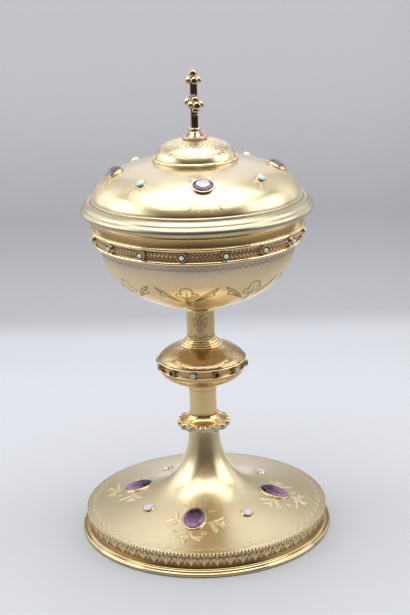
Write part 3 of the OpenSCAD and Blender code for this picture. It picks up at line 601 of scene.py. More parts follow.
scrolls = engraved(u, v, (
    [(0, 7.2), (1.6, 7.8), (2.9, 9.2), (2.5, 10.8), (1.1, 11.0), (0.9, 9.8), (1.8, 9.3)],
    [(1.8, 8.0), (3.8, 7.6), (5.4, 8.6), (5.2, 10.2), (4.0, 10.2), (3.9, 9.3)],
    [(0, 7.2), (0, 12.2)], [(3.0, 9.6), (4.2, 11.2), (3.4, 12.2)],
    [(1.2, 7.7), (2.4, 6.6), (3.8, 6.6)]), 0.42)
pips = np.radians(folded(knop_around, 32, 2.0))[None, :] * knop_rows[:, None]
roundels = np.clip(1.2 - np.abs(np.hypot(pips, v - 1.9) - 1.1) / 0.24, 0, 1)
links = np.clip(1.2 - np.hypot(np.abs(pips) - 2.05, v - 1.5) / 0.5, 0, 1)
cut = np.maximum.reduce([0.6 * scrolls, 0.7 * roundels, 0.65 * links])
upper_shell = lathe("knop_upper_shell", list(zip(knop_rows, knop_high)) + [(3.1, knop_high[-1])],
                    knop_around, relief=np.vstack([-0.08 * cut, np.zeros(knop_around)]),
                    marks={"cut": np.vstack([cut, np.zeros(knop_around)])}, finish=knop_gilt)
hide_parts("knop_upper_shell")
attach(upper_shell, "ciborium_base")
ring_low = 99.57
steps = []
for i in range(3):
    steps += arc(11.0 - 0.475 - 1.1 * i, ring_low + 0.475 + 0.95 * i, 0.5, -90, 80, 8)
knop_ring = lathe("knop_top_rings", [(3.1, ring_low), (11.0, ring_low)] + steps
                  + [(7.4, ring_low + 2.9), (7.4, ring_low + 3.1), (7.75, ring_low + 3.2),
                     (7.75, ring_low + 3.7), (7.6, ring_low + 3.8), (3.1, ring_low + 3.8)], 160,
                  finish=polished)
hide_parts("knop_top_ring")
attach(knop_ring, "ciborium_base")


# Stones in the knop's groove: turquoises and garnets by turns, domed and polished. Each sits in a
# round gilt setting, painted dark as shade, that is soldered into the groove.
knop_stones_round = 12
knop_stone_turn = -11.7
knop_stone_d = 2.75
knop_stone_z = knop_low_z + 0.7 + 1.75
dark_red = gem("garnet", (0.03, 0.004, 0.003), (0.012, 0.002, 0.002), rough=0.12, clear=0.0)
blue_green = stone("turquoise", (0.47, 0.63, 0.57), (0.30, 0.45, 0.41))
seats = [on_slope(knop_stone_turn + 360 / knop_stones_round * k, groove_r, knop_stone_z, 90)
         for k in range(knop_stones_round)]
knop_wall = setting(knop_stone_d, knop_stone_d, 2.5, 0.36, 0.2)
knop_settings = joined("knop_settings", [knop_wall] * knop_stones_round, seats, shaded_gilt)
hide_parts("knop_bezels")
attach(knop_settings, "ciborium_base")
knop_dome = dome(knop_stone_d, 1.9, 0.8)
knop_blue = joined("knop_turquoises", [knop_dome] * 6, seats[0::2], blue_green, sharp=70)
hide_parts("knop_turquoises")
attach(knop_blue, "ciborium_base")
knop_red = joined("knop_garnets", [knop_dome] * 6, seats[1::2], dark_red, sharp=70)
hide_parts("knop_garnets")
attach(knop_red, "ciborium_base")


# Upper sleeve of the stem: a satin tube engraved with upright scrollwork on four sides and a
# scalloped line at its foot; a polished ring closes it against the bowl.
upper_r = 7.2
upper_low, upper_high = 103.37, 118.27
sleeve_around = 320
sleeve_rows = np.linspace(upper_low, upper_high, 110)
swing = np.radians(folded(sleeve_around, 4, -3)) * upper_r
u, v = np.meshgrid(swing, sleeve_rows - upper_low)
scrolls = engraved(u, v, (
    [(0, 5.6), (1.0, 6.2), (2.4, 7.8), (2.7, 9.4), (1.9, 10.4), (1.0, 9.8), (1.2, 8.8), (1.8, 9.0)],
    [(2.5, 7.6), (3.4, 8.2), (3.3, 9.6), (2.9, 8.6)], [(0, 5.6), (0, 7.4)],
    [(0.3, 7.6), (0.7, 9.4), (0.5, 11.2), (0, 12.6)],
    [(0.6, 10.8), (1.8, 11.4), (2.7, 12.6), (3.5, 12.0), (3.2, 11.0), (2.6, 11.3)],
    [(0, 12.6), (0.9, 13.6), (1.9, 13.4)], [(2.8, 9.8), (4.0, 10.6), (4.3, 12.2)]), 0.42)
swag = np.radians(folded(sleeve_around, 8, -3)) * upper_r
scallop = np.clip(1.3 - np.abs(v - 1.5 - 1.7 * (swag[None, :] / 2.83) ** 2) / 0.3, 0, 1)
posts = np.clip(1.3 - np.abs(np.abs(swag[None, :]) - 2.6) / 0.3, 0, 1) * (v < 3.2) * (v > 0.7)
cut = np.maximum.reduce([0.5 * scrolls, 0.6 * scallop, 0.5 * posts])
upper_sleeve = lathe("upper_sleeve", [(upper_r, z) for z in sleeve_rows], sleeve_around,
                     relief=-0.08 * cut, marks={"cut": cut}, finish=stem_gilt)
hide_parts("upper_stem_sleeve")
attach(upper_sleeve, "ciborium_base")
cup_ring = lathe("ring_under_the_bowl", [(6.0, upper_high)]
                 + arc(upper_r, upper_high + 0.6, 0.6, -90, 90, 10)
                 + arc(8.1, upper_high + 2.1, 0.9, 215, 150, 6) + [(8.6, 122.3), (6.0, 122.3)], 128,
                 finish=polished)
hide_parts("cup_ring")
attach(cup_ring, "ciborium_base")


# Bowl: raised or spun silver-gilt, satin outside, plain bright gilt inside. Eight leaves with
# long side leaves are engraved round its lower part, and a scalloped line under the band.
bowl_r = 49.6
bowl_depth = 37
bowl_curve = 2 / 2.2
lining_r = 48.4
motif_r, motif_z = 42.0, 133.3
bowl_mid = 158.77
mouth_z = 169.47
bowl_around = 1024
bend = np.radians(np.linspace(9, 90, 178))
bowl_rows = bowl_r * np.sin(bend) ** bowl_curve
bowl_high = bowl_mid - bowl_depth * np.clip(np.cos(bend), 0, 1) ** bowl_curve
run = np.concatenate([[0], np.cumsum(np.hypot(np.diff(bowl_rows), np.diff(bowl_high)))])
base_run = np.interp(motif_z, bowl_high, run)
swing = np.radians(folded(bowl_around, 8, -8.4))
u = motif_r * swing[None, :] * np.clip(bowl_rows[:, None] / motif_r, 0.6, 1.2)
v = np.repeat(run[:, None] - base_run, bowl_around, axis=1)
lines = engraved(u, v, (
    [(0.3, 2.2), (2.0, 3.6), (4.2, 4.6), (5.5, 6.2), (4.9, 7.8), (3.2, 8.0), (2.5, 7.4), (3.2, 9.2),
     (2.4, 11.4), (0.0, 12.3)],
    [(0, -6.5), (0, 8.2)], [(0.2, 3.6), (3.2, 6.2)], [(0.8, -4.4), (0.9, 1.0)],
    [(3.0, 0.2), (6.6, 4.6), (10.8, 8.7), (15.8, 11.6)], [(15.8, 11.6), (14.6, 9.6), (12.4, 8.2)],
    [(12.4, 8.2), (13.6, 7.4), (13.0, 5.8), (10.8, 5.4), (8.2, 3.6), (5.2, 1.4), (3.0, 0.2)],
    [(5.0, 2.0), (12.4, 8.4)], [(7.0, 3.0), (9.6, 4.9)]), 0.78)
scallops = 92
wave = np.abs(folded(bowl_around, scallops, 0)) / (180 / scallops)
line_z = 153.2 - 1.35 * (1 - wave ** 2)
scallop = np.clip(1.3 - np.abs(bowl_high[:, None] - line_z[None, :]) / 0.36, 0, 1)
cut = np.maximum(lines, 0.65 * scallop)
side_on = np.cos(np.radians(np.arange(bowl_around) * 360 / bowl_around + 30))
haze = np.clip((bowl_high[:, None] - 141) / 13, 0, 1) ** 1.5 * (0.62 + 0.25 * side_on[None, :])
bowl_gilt = gilding("bowl gilding", (0.79, 0.635, 0.38), (0.52, 0.375, 0.19), 0.29, grain=0.07)
top_rows = [(bowl_r, mouth_z), (lining_r, mouth_z)]
plain_rows = np.zeros((2, bowl_around))
bowl = lathe("bowl_outside", list(zip(bowl_rows, bowl_high)) + top_rows, bowl_around,
             relief=np.vstack([-0.1 * cut, plain_rows]),
             marks={"cut": np.vstack([cut, plain_rows]), "haze": np.vstack([haze, plain_rows])},
             sharp=50, finish=bowl_gilt)
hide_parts("bowl")
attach(bowl, "ciborium_base")
lining_bend = np.radians(np.linspace(90, 0, 60))
lining_depth = 35.8
lining = lathe("bowl_inside", [(lining_r, mouth_z), (lining_r, bowl_mid + 2)]
               + [(max(0.02, lining_r * math.sin(t) ** bowl_curve),
                   bowl_mid - lining_depth * max(0.0, math.cos(t)) ** bowl_curve)
                  for t in lining_bend], 160, finish=polished)
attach(lining, "ciborium_base")


# Pearl band: an applied strip with a braided ground between two round wires, soldered on under
# the lip. Pearls sit along it in round gilt cups whose floors are painted black as shade.
band_low, band_high = 155.57, 163.87
band_low_r, band_high_r = 51.6, 53.0
braid_count = 160
braid_around = braid_count * 8
braid_rows = np.linspace(0, 1, 40)
phase = np.arange(braid_around) / 8
up = (braid_rows[:, None] - 0.5) * 2
plait = (up + 0.57) / 0.38
row = np.clip(np.floor(plait), 0, 2)
lean = np.where(row % 2 == 0, 0.75, -0.75) * (plait - row)
strand = 0.5 + 0.6 * np.sin(2 * math.pi * (phase[None, :] + lean))
inside_row = np.sin(np.pi * np.clip(plait - row, 0, 1)) ** 0.5 * (np.abs(up) < 0.57)
plain = np.clip((np.abs(up) - 0.6) * 9, 0, 1)
weave = np.clip(np.maximum(strand * inside_row, 0.8 * plain), 0, 1)
braid_tone = gilding("braided band", (0.68, 0.49, 0.29), (0.44, 0.27, 0.15), 0.34, grain=0.1)
# The ground between the strands is painted dark as shade.
strip = lathe("pearl_band", [(band_low_r + (band_high_r - band_low_r) * t - 0.3,
                              band_low + (band_high - band_low) * t) for t in braid_rows],
              braid_around, relief=0.4 * weave - 0.2, marks={"cut": 0.85 - 0.85 * weave},
              finish=braid_tone)
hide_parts("bowl_band")
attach(strip, "ciborium_base")
low_wire = lathe("band_lower_wire", [(bowl_r - 0.1, band_low - 0.15)]
                 + arc(band_low_r + 0.2, band_low + 0.65, 0.85, -100, 120, 12), 256, finish=polished)
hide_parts("band_wires")
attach(low_wire, "ciborium_base")
high_wire = lathe("band_upper_wire", arc(band_high_r + 0.05, band_high - 0.75, 0.95, -115, 110, 14)
                  + [(52.6, band_high + 0.2)], 256, finish=polished)
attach(high_wire, "ciborium_base")
pearl_lean = math.degrees(math.atan((band_high_r - band_low_r) / (band_high - band_low)))
pearl_count = 16
pearl_turn = -8.6
pearl_r, pearl_z = 52.3, 159.72
pearl_d = 2.4
cup_d = 4.0
seats = [on_slope(pearl_turn + 360 / pearl_count * k, pearl_r, pearl_z, 90 + pearl_lean)
         for k in range(pearl_count)]
pearl_cup = setting(cup_d, cup_d, 1.3, 0.42, 0.4)
pearl_settings = joined("pearl_settings", [pearl_cup] * pearl_count, seats, setting_gilt)
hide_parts("band_bezels")
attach(pearl_settings, "ciborium_base")


def ball(d, z):
    # A small round ball.
    rows = [(max(0.02, d / 2 * math.sin(math.radians(a))), z - d / 2 * math.cos(math.radians(a)))
            for a in range(0, 181, 15)]
    return oval_rings([(r, r, h) for r, h in rows], 24, False, False)


# The floors of the cups are painted black as shade.
cup_shade_black = gilding("cup floors in painted shade", (0.13, 0.09, 0.05), (0.06, 0.04, 0.02), 0.4)
cup_floors = joined("pearl_cup_floors", [dome(cup_d, 0.3, 0.15)] * pearl_count, seats, cup_shade_black,
                    sharp=70)
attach(cup_floors, "ciborium_base")
pearl_white = stone("pearl", (0.84, 0.82, 0.77), (0.60, 0.58, 0.54), rough=0.08)
pearls = joined("pearls", [ball(pearl_d, 1.25)] * pearl_count, seats, pearl_white, sharp=180)
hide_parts("band_pearls")
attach(pearls, "ciborium_base")


# Lip of the bowl: a plain polished ring of silver-gilt above the band, soldered round the bowl,
# with a small bead at its top edge. The lid's rim rests on it.
lip_r = 53.3
# Its tone is set darker than the other gilding: painted shade under the lid's rim.
lip_gilt = gilding("lip gilding", (0.72, 0.52, 0.25), (0.44, 0.28, 0.11), 0.2)
lip = lathe("bowl_lip", [(bowl_r, band_high), (lip_r - 0.2, band_high), (lip_r - 0.25, mouth_z - 2.1)]
            + arc(lip_r - 0.75, mouth_z - 1.1, 1.05, -60, 90, 14) + [(bowl_r, mouth_z)], 256,
            finish=lip_gilt)
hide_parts("bowl_lip")
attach(lip, "ciborium_base")


# Rim of the lid: a broad moulding, turned and worn pale, with a bead at the seat, a round nose, a
# rounded shoulder and a fillet. The flange below it drops into the bowl and keeps the lid in place.
rim_r = 58.1
dome_z = 176.77
rim_gilt = gilding("worn rim", (0.54, 0.495, 0.37), (0.38, 0.325, 0.21), 0.32)
rim = lathe("lid_rim", [(48.0, mouth_z), (53.3, mouth_z)] + arc(53.6, mouth_z + 0.8, 0.8, -70, 40, 9)
            + arc(rim_r - 2.4, mouth_z + 2.7, 2.4, -85, 60, 20)
            + arc(rim_r - 4.4, dome_z - 3.0, 3.0, 15, 82, 12) + [(53.3, dome_z - 0.4)]
            + arc(52.2, dome_z + 0.7, 0.7, -60, 90, 10) + [(51.6, dome_z + 1.4)], 256, finish=rim_gilt)
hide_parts("lid_rim")
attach(rim, "lid")
lid_flange = lathe("lid_flange", [(48.0, 176.0), (48.0, 164.5), (46.9, 164.47), (46.9, 175.8),
                                  (46.9, dome_z), (50.5, dome_z)][::-1], 192, finish=polished)
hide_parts("lid_flange")
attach(lid_flange, "lid")


# Dome of the lid: spun silver-gilt with a satin face, chased with leaf sprays round each amethyst
# and smaller ones at the turquoises; plain bright gilt inside.
dome_r, dome_h = 51.7, 18.7
inner_r, inner_h = 50.5, 17.5
lid_turn = 4.4
lid_stone_r = 40.4


def lid_z(r, a=dome_r, h=dome_h):
    return dome_z + h * np.clip(1 - (r / a) ** 3.0, 0, 1) ** 0.5


lid_around = 1024
bend = np.linspace(0, 1, 172)
lid_rows = dome_r * np.sqrt(1 - (bend * 0.93) ** 2)
lid_high = lid_z(lid_rows)
swing = np.radians(folded(lid_around, 4, lid_turn))
u = lid_rows[:, None] * np.sin(swing)[None, :]
v = lid_rows[:, None] * np.cos(swing)[None, :] - lid_stone_r
spray = np.zeros(u.shape)
veins = np.zeros(u.shape)
for start, tip, wide in (
        ((5.4, 2.0), (9.4, 3.0), 1.0), ((9.0, 2.8), (13.2, 2.2), 1.2), ((8.6, 2.4), (12.2, -1.8), 1.1),
        ((5.0, 3.6), (9.6, 7.0), 1.3), ((8.4, 5.8), (12.0, 6.2), 0.9), ((3.2, 5.4), (6.4, 9.2), 1.2),
        ((5.6, 8.0), (9.2, 9.6), 0.9), ((0.6, 5.8), (2.2, 9.4), 1.1), ((1.8, 8.4), (3.4, 11.4), 0.9),
        ((5.2, -2.4), (10.0, -5.2), 1.2), ((2.6, -5.8), (5.4, -9.0), 1.1)):
    for side in (-1, 1):
        a, b = (side * start[0], start[1]), (side * tip[0], tip[1])
        spray = np.maximum(spray, petal(u, v, a, b, 1.6 * wide))
        veins = np.maximum(veins, stroke(u, v, [a, b], 0.4))
swing = np.radians(folded(lid_around, 4, lid_turn + 45))
small_u = lid_rows[:, None] * np.sin(swing)[None, :]
small_v = lid_rows[:, None] * np.cos(swing)[None, :] - lid_stone_r
small = np.zeros(u.shape)
for start, tip, wide in (((2.6, 2.0), (5.6, 5.4), 1.1), ((0.6, 3.2), (1.6, 7.4), 1.0),
                         ((3.0, 0.4), (6.8, 1.2), 1.0)):
    for side in (-1, 1):
        a, b = (side * start[0], start[1]), (side * tip[0], tip[1])
        small = np.maximum(small, petal(small_u, small_v, a, b, wide))
for ring_u, ring_v, ring_r in ((4.6, 7.6, 0.8), (8.6, -1.0, 0.7), (5.0, -6.6, 0.8)):
    for side in (-1, 1):
        circle = [(side * ring_u + p[0], ring_v + p[1]) for p in arc(0, 0, ring_r, 0, 300, 12)]
        veins = np.maximum(veins, 0.8 * stroke(u, v, circle, 0.5))
spray = np.sqrt(np.maximum(spray, petal(u, v, (0, 6.0), (0, 10.6), 1.2)))
rim_of_leaf = np.where((spray > 0.05) & (spray < 0.5), 1.0, 0.0)
film = np.repeat(0.8 * np.clip((45 - lid_rows[:, None]) / 10, 0, 1), lid_around, axis=1)
lid_gilt = gilding("lid gilding", (0.755, 0.655, 0.42), (0.49, 0.39, 0.215), 0.31, grain=0.09, coat=0.4,
                   film_tone=(0.55, 0.49, 0.37))
# A band painted dark as shade along the foot of the dome next to the rim; the leaves get the pale
# painted sheen.
rim_shade_band = np.repeat((lid_high[:, None] < dome_z + 2.2) * 0.4, lid_around, axis=1)
lid = lathe("lid_dome", list(zip(lid_rows, lid_high)), lid_around,
            relief=0.11 * spray + 0.04 * small - 0.05 * veins,
            marks={"cut": np.maximum.reduce([0.5 * veins, 0.65 * rim_of_leaf, rim_shade_band]),
                   "leaf_sheen": np.maximum(0.5 * spray * (1 - rim_of_leaf), 0.3 * small), "haze": film},
            sharp=60, finish=lid_gilt)
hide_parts("lid_shell")
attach(lid, "lid")
top = np.linspace(0.05, inner_r, 60)
lid_inside = lathe("lid_inside", list(zip(top, lid_z(top, inner_r, inner_h))), 160, finish=polished)
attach(lid_inside, "lid")


# Stones of the lid: four faceted oval amethysts and four small domed turquoises, pale green. Their
# gilt settings are soldered to the dome.
lid_tilt = 27.0
lid_oval = (9.4, 10.4)
mint_d = 4.4
seats = [on_slope(lid_turn + 90 * k, lid_stone_r, float(lid_z(lid_stone_r)), lid_tilt) for k in range(4)]
lid_settings = joined("lid_amethyst_settings", [setting(*lid_oval, 1.15, 0.5)] * 4, seats, setting_gilt)
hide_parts("lid_amethyst_bezels")
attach(lid_settings, "lid")
violet = gem("lid amethyst", (0.84, 0.64, 0.92), (0.10, 0.035, 0.12), clear=0.85)
lid_gems = joined("lid_amethysts", [cut_oval(*lid_oval)] * 4, seats, violet, smooth=False)
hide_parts("lid_amethysts")
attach(lid_gems, "lid")
mint = stone("pale turquoise", (0.53, 0.67, 0.60), (0.38, 0.54, 0.48))
seats = [on_slope(lid_turn + 45 + 90 * k, lid_stone_r, float(lid_z(lid_stone_r)), lid_tilt)
         for k in range(4)]
mint_settings = joined("lid_turquoise_settings", [setting(mint_d, mint_d, 0.8, 0.35)] * 4, seats,
                       setting_gilt)
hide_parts("lid_turquoise_bezels")
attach(mint_settings, "lid")
mints = joined("lid_turquoises", [dome(mint_d, 0.5, 1.1)] * 4, seats, mint, sharp=70)
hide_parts("lid_turquoises")
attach(mints, "lid")


# Cupola: a small raised dome on top of the lid, engraved all over, with a polished round wire
# round its brim.
cupola_r = 19.9
cupola_h = 10.4
brim_r = 21.2
cupola_curve = 2 / 2.44
cupola_z = float(lid_z(cupola_r)) + 0.8
cupola_around = 640
bend = np.radians(np.linspace(0, 88.5, 90))
cupola_rows = cupola_r * np.cos(bend) ** cupola_curve
cupola_high = cupola_z + cupola_h * np.sin(bend) ** cupola_curve
swing = np.radians(folded(cupola_around, 6, 4))
u = cupola_rows[:, None] * np.sin(swing)[None, :]
v = cupola_rows[:, None] * np.cos(swing)[None, :]
scrolls = engraved(u, v, (
    [(0, 19.4), (0, 8.5)], [(0, 17.5), (2.6, 16.2), (4.6, 13.6), (3.4, 11.8), (2.0, 13.0)],
    [(1.0, 15.0), (3.2, 10.6), (2.0, 8.4)], [(3.8, 18.4), (6.2, 17.0), (7.4, 14.8), (6.0, 14.2)],
    [(0, 12.0), (1.6, 10.4)], [(4.8, 18.6), (4.2, 16.4)], [(1.2, 19.2), (2.2, 17.6), (1.6, 16.8)],
    [(8.0, 17.0), (9.2, 15.6), (8.2, 13.8), (6.4, 12.4)], [(6.4, 18.0), (8.2, 16.2)],
    [(4.8, 13.4), (5.4, 11.2), (4.2, 9.6), (3.0, 9.4)], [(1.4, 13.8), (2.4, 12.4)]), 0.5)
brim = [(brim_r, float(lid_z(brim_r)) - 0.3), (brim_r, cupola_z), (20.0, cupola_z)]
plain_rows = np.zeros((len(brim), cupola_around))
cupola = lathe("cupola", brim + list(zip(cupola_rows, cupola_high)), cupola_around,
               relief=np.vstack([plain_rows, -0.07 * scrolls]),
               marks={"cut": np.vstack([plain_rows, 0.65 * scrolls]),
                      "haze": np.full((len(brim) + len(cupola_rows), cupola_around), 0.1)}, sharp=50,
               finish=satin)
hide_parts("cupola")
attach(cupola, "lid")
wire = lathe("cupola_wire", arc(20.68, cupola_z + 0.62, 0.65, -90, 270, 25), 192, finish=polished)
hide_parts("cupola_wire")
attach(wire, "lid")


# Finial: a turned foot with a spool and a ring, and the cross on it. The cross is cast, with
# square bars and a bud of rounded beads at each free end. Wear has left both a bronze tone.
finial_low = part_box("finial_base")[1][2] * 1000 - 5.4
bronze = gilding("worn cross", (0.56, 0.45, 0.33), (0.30, 0.21, 0.14), 0.18)
finial = lathe("finial_foot", [(0.05, finial_low - 0.4), (5.7, finial_low - 0.2)]
               + arc(5.7, finial_low + 0.7, 0.7, -70, 90, 10)
               + [(2.79 + 2.91 * (1 - t) ** 1.3, finial_low + 1.4 + 2.4 * t)
                  for t in np.linspace(0, 1, 8)[1:]]
               + arc(2.55, finial_low + 4.6, 0.8, -90, 90, 12) + [(0.05, finial_low + 5.4)], 128,
               finish=bronze)
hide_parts("finial_base")
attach(finial, "lid")
cross_low = finial_low + 5.4
shaft = 11.9
cross_mid = cross_low + shaft
bar = 3.4
top_arm = 11.2
side_arm = 4.8
cross_turn = 10
bud_off, bud_r, bud_half = 2.5, 1.8, 1.4
tip_off, tip_r, tip_half = 3.4, 1.87, 1.6
cross_points, cross_faces = [], []


def add_block(low, high, bevel=0.25):
    # A square bar along its longest side, with the long edges taken off.
    lo, hi = np.array(low), np.array(high)
    axis = int(np.argmax(hi - lo))
    p, q = [i for i in range(3) if i != axis]
    section = [(lo[p], lo[q] + bevel), (lo[p] + bevel, lo[q]),
               (hi[p] - bevel, lo[q]), (hi[p], lo[q] + bevel),
               (hi[p], hi[q] - bevel), (hi[p] - bevel, hi[q]),
               (lo[p] + bevel, hi[q]), (lo[p], hi[q] - bevel)]
    if axis == 1:
        section.reverse()
    first, n = len(cross_points), len(section)
    for end in (lo[axis], hi[axis]):
        for at in section:
            point = [0, 0, 0]
            point[axis], point[p], point[q] = end, *at
            cross_points.append(tuple(point))
    for i in range(n):
        j = (i + 1) % n
        cross_faces.append((first + i, first + j, first + n + j, first + n + i))
    cross_faces.append(tuple(first + i for i in range(n - 1, -1, -1)))
    cross_faces.append(tuple(first + n + i for i in range(n)))


def add_bead(middle, along, radius, half):
    # A short barrel with rounded ends along one direction.
    along = Vector(along)
    turn = Vector((0, 0, 1)).rotation_difference(along).to_matrix()
    soft = 0.55 * radius
    rows = [(0.02, -half)] + arc(radius - soft, -half + soft, soft, -90, 0, 7) \
        + arc(radius - soft, half - soft, soft, 0, 90, 7) + [(0.02, half)]
    shape, ring = oval_rings([(r, r, h) for r, h in rows], 20, False, False)
    first = len(cross_points)
    cross_points.extend(tuple(Vector(middle) + turn @ Vector(p)) for p in shape)
    cross_faces.extend([tuple(first + i for i in face) for face in ring])


half = bar / 2
add_block((-half, -half, -shaft), (half, half, top_arm + half))
add_block((-half, -side_arm - half, -half), (half, side_arm + half, half))
add_block((-half - 0.15, -half - 0.15, -6.3), (half + 0.15, half + 0.15, -5.4), 0.3)
for end, arm in (((0, 0, 1), top_arm), ((0, -1, 0), side_arm), ((0, 1, 0), side_arm)):
    end = Vector(end)
    for side in ((1, 0, 0), (-1, 0, 0), (0, 1, 0), (0, -1, 0), (0, 0, 1), (0, 0, -1)):
        side = Vector(side)
        if abs(side.dot(end)) < 0.5:
            add_bead(end * arm + side * bud_off, side, bud_r, bud_half)
    add_bead(end * (arm + tip_off), end, tip_r, tip_half)
cross_place = Matrix.Translation((0, 0, cross_mid * 0.001)) \
    @ Matrix.Rotation(math.radians(cross_turn), 4, "Z")
cross = joined("cross", [(cross_points, cross_faces)], [cross_place], bronze)
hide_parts("cross")
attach(cross, "lid")


# Stage: a pale table that runs into a pale grey backdrop, as in a photographer's light tent. Its cloth
# has
# painted light: lighter towards the back, painted shade at its sides and in the bend. In the metal's
# reflections it has painted warm light, a painted glow behind the cup and painted dark where the tent
# opens;
# to the camera its front is a painted glow. Seen from its other side it is clear, so the cup shows from
# behind and below too.
table_tone = (0.455, 0.476, 0.512)
far_table_tone = (0.510, 0.532, 0.572)
crease_shade_tone = (0.358, 0.371, 0.404)
back_tone = (0.500, 0.501, 0.541)
left_shade_tone = (0.22, 0.23, 0.24)
right_shade_tone = (0.19, 0.195, 0.205)
open_tone = (0.52, 0.53, 0.56)
warm_light_tint = (0.93, 0.88, 0.81)
glow_tint = (1.5, 1.46, 1.4)
dark_reflection_tint = (0.085, 0.058, 0.037)
back_y = 0.28
bend_r = 0.08
stage_front, stage_top, stage_half = -1.6, 1.6, 2.2
stage_mat, stage_tree, stage_shader = new_finish("pale cloth")
stage_shader["Roughness"].default_value = 0.7
stage_place = stage_tree.nodes.new("ShaderNodeTexCoord")
stage_split = stage_tree.nodes.new("ShaderNodeSeparateXYZ")
stage_tree.links.new(stage_place.outputs["Object"], stage_split.inputs["Vector"])


def stage_blend(axis, low, high, before, after):
    # A smooth change of tone along one direction of the stage.
    amount = spread(stage_tree, stage_split.outputs[axis], 0.0, 1.0, low, high, "SMOOTHSTEP")
    return blend(stage_tree, before, after, amount)


def shader_blend(amount, before, after):
    # Two shaders mixed by an amount.
    mix = stage_tree.nodes.new("ShaderNodeMixShader")
    for socket, value in zip(mix.inputs, (amount, before, after)):
        stage_tree.links.new(value, socket)
    return mix.outputs["Shader"]


# The cloth's tone: lighter towards the back, painted shade in the bend and at the sides.
cloth = stage_blend("Y", -0.05, 0.22, table_tone, far_table_tone)
cloth = stage_blend("Z", 0.0, 0.014, cloth, crease_shade_tone)
cloth = stage_blend("Z", 0.02, 0.20, cloth, back_tone)
cloth = stage_blend("X", -0.5, -0.2, left_shade_tone, cloth)
cloth = stage_blend("X", 0.11, 0.5, cloth, right_shade_tone)
# For glossy rays the cloth gets painted light: warm light, a painted glow behind the cup and painted
# dark towards the open front.
side_tint = stage_blend("Y", -0.55, -0.14, dark_reflection_tint, warm_light_tint)
tint = stage_blend("Y", 0.0, 0.2, side_tint, glow_tint)
tint = stage_blend("Z", 0.1, 0.3, tint, warm_light_tint)
tint = stage_blend("X", -0.14, -0.05, side_tint, tint)
tint = stage_blend("X", 0.05, 0.14, tint, side_tint)
rays = stage_tree.nodes.new("ShaderNodeLightPath").outputs
stage_tree.links.new(blend(stage_tree, cloth, tint, rays["Is Glossy Ray"], "MULTIPLY"),
                     stage_shader["Base Color"])
# To the camera the front of the table is a painted glow: a flat emission that fades out towards the cup.
glow_fade = stage_blend("Y", -0.6, -0.16, (1, 1, 1), (0, 0, 0))
front_glow = stage_tree.nodes.new("ShaderNodeEmission")
front_glow.inputs["Color"].default_value = (*open_tone, 1)
clear = stage_tree.nodes.new("ShaderNodeBsdfTransparent")
turned_away = stage_tree.nodes.new("ShaderNodeNewGeometry").outputs["Backfacing"]
front = shader_blend(reckon(stage_tree, "MULTIPLY", glow_fade, rays["Is Camera Ray"]),
                     stage_tree.nodes["Principled BSDF"].outputs["BSDF"], front_glow.outputs["Emission"])
stage_tree.links.new(shader_blend(turned_away, front, clear.outputs["BSDF"]),
                     stage_tree.nodes["Material Output"].inputs["Surface"])
path = [(stage_front, 0.0), (back_y, 0.0)]
path += [(back_y + bend_r * math.sin(math.radians(a)), bend_r - bend_r * math.cos(math.radians(a)))
         for a in range(10, 91, 10)]
path += [(back_y + bend_r, stage_top)]
stage_mesh = bpy.data.meshes.new("table_and_backdrop")
stage_mesh.from_pydata([(x, y, z) for y, z in path for x in (-stage_half, stage_half)], [],
                       [(2 * i, 2 * i + 1, 2 * i + 3, 2 * i + 2) for i in range(len(path) - 1)])
stage_mesh.shade_smooth()
stage_mesh.materials.append(stage_mat)
table = bpy.data.objects.new("table_and_backdrop", stage_mesh)
bpy.context.scene.collection.objects.link(table)


# Light: the lit cloth ceiling of the tent with a lamp over it, its two lit side walls, the panels
# along its back and in its corners, and two dim warm panels high on the open side. The room beyond
# is dim in the reflections and pale to the camera.
room_tone = (0.09, 0.061, 0.040)
world = bpy.data.worlds.new("dim room")
bpy.context.scene.world = world
world.use_nodes = True
world_rays = world.node_tree.nodes.new("ShaderNodeLightPath")
room = blend(world.node_tree, room_tone, open_tone, world_rays.outputs["Is Camera Ray"])
world.node_tree.links.new(room, world.node_tree.nodes["Background"].inputs["Color"])


def soft_box(name, where, aim, wide, tall, power, lean=0, tone=(1, 1, 1)):
    # A lit panel facing a point, its edges leaning a little round the line to that point.
    lamp = bpy.data.lights.new(name, "AREA")
    lamp.shape = "RECTANGLE"
    lamp.size = wide
    lamp.size_y = tall
    lamp.energy = power
    lamp.color = tone
    obj = bpy.data.objects.new(name, lamp)
    obj.location = where
    facing = (Vector(aim) - Vector(where)).to_track_quat("-Z", "Y").to_matrix()
    obj.rotation_euler = (facing @ Matrix.Rotation(math.radians(lean), 3, "Z")).to_euler()
    obj.visible_camera = False
    bpy.context.scene.collection.objects.link(obj)


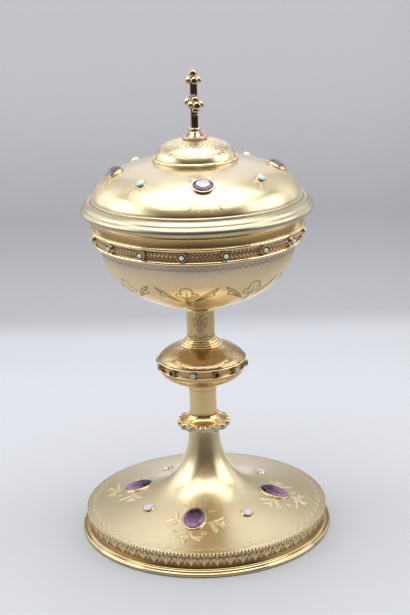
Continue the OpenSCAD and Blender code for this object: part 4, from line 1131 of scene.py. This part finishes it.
soft_box("ceiling", (0.0, -0.27, 0.95), (0.0, -0.27, 0.0), 1.5, 1.14, 13.2)
soft_box("front_top", (0.0, -1.35, 1.06), (0.0, 0.0, 1.06), 1.6, 0.28, 0.55, tone=(1, 0.80, 0.56))
soft_box("front_low", (0.0, -1.35, 0.75), (0.0, 0.0, 0.75), 1.6, 0.34, 0.4, tone=(1, 0.72, 0.42))
soft_box("lamp_glow", (0.0, 0.16, 0.93), (0.0, 0.0, 0.1), 0.6, 0.28, 0.8)
soft_box("lamp", (0.03, 0.27, 0.92), (0.0, 0.0, 0.1), 0.12, 0.10, 0.3)
soft_box("back_wall", (0.0, 0.34, 0.58), (0.0, 0.0, 0.58), 1.2, 0.65, 0.15)
soft_box("back_middle", (0.0, 0.33, 0.58), (0.0, 0.0, 0.58), 0.3, 0.65, 0.38)
soft_box("left_wall", (-0.85, -0.04, 0.52), (0.0, -0.04, 0.52), 0.76, 0.7, 4.0, 15)
soft_box("right_wall", (0.85, -0.12, 0.52), (0.0, -0.12, 0.52), 0.86, 0.7, 4.3, -15)
soft_box("left_corner", (-0.525, 0.28, 0.30), (-0.525, 0.0, 0.30), 0.45, 0.5, 0.66)
soft_box("left_fold", (-0.30, 0.30, 0.27), (0.0, 0.0, 0.2), 0.22, 0.5, 0.09)
soft_box("left_front", (-0.75, -0.55, 0.32), (0.0, 0.0, 0.2), 0.25, 0.4, 0.2)
soft_box("right_corner", (0.525, 0.28, 0.26), (0.525, 0.0, 0.26), 0.45, 0.46, 0.38)
soft_box("right_fold", (0.30, 0.30, 0.27), (0.0, 0.0, 0.2), 0.22, 0.5, 0.12)


# Camera: a little higher than the cross, looking down on the cup and slightly tilted, as in the
# photo. Its lens follows from the focal length in rows of the picture.
pitch_down, roll, pan = math.radians(17.402), math.radians(-1.75), math.radians(0.204)
camera_place = (0.0, -0.6915, 0.3354)
focal_rows, frame_rows = 1422.8, 615
sensor = 24.0
ahead = Vector((math.sin(pan) * math.cos(pitch_down), math.cos(pan) * math.cos(pitch_down),
                -math.sin(pitch_down)))
level = Vector((math.cos(pan), -math.sin(pan), 0))
upward = level.cross(ahead)
right = level * math.cos(roll) + upward * math.sin(roll)
upright = upward * math.cos(roll) - level * math.sin(roll)
camera_data = bpy.data.cameras.new("camera")
camera_data.sensor_fit = "VERTICAL"
camera_data.sensor_height = sensor
camera_data.lens = focal_rows / frame_rows * sensor
camera_data.clip_end = 20.0
camera = bpy.data.objects.new("camera", camera_data)
camera.matrix_world = Matrix((right, upright, -ahead)).transposed().to_4x4()
camera.location = camera_place
bpy.context.scene.collection.objects.link(camera)
bpy.context.scene.camera = camera
bpy.context.scene.view_settings.view_transform = "Standard"
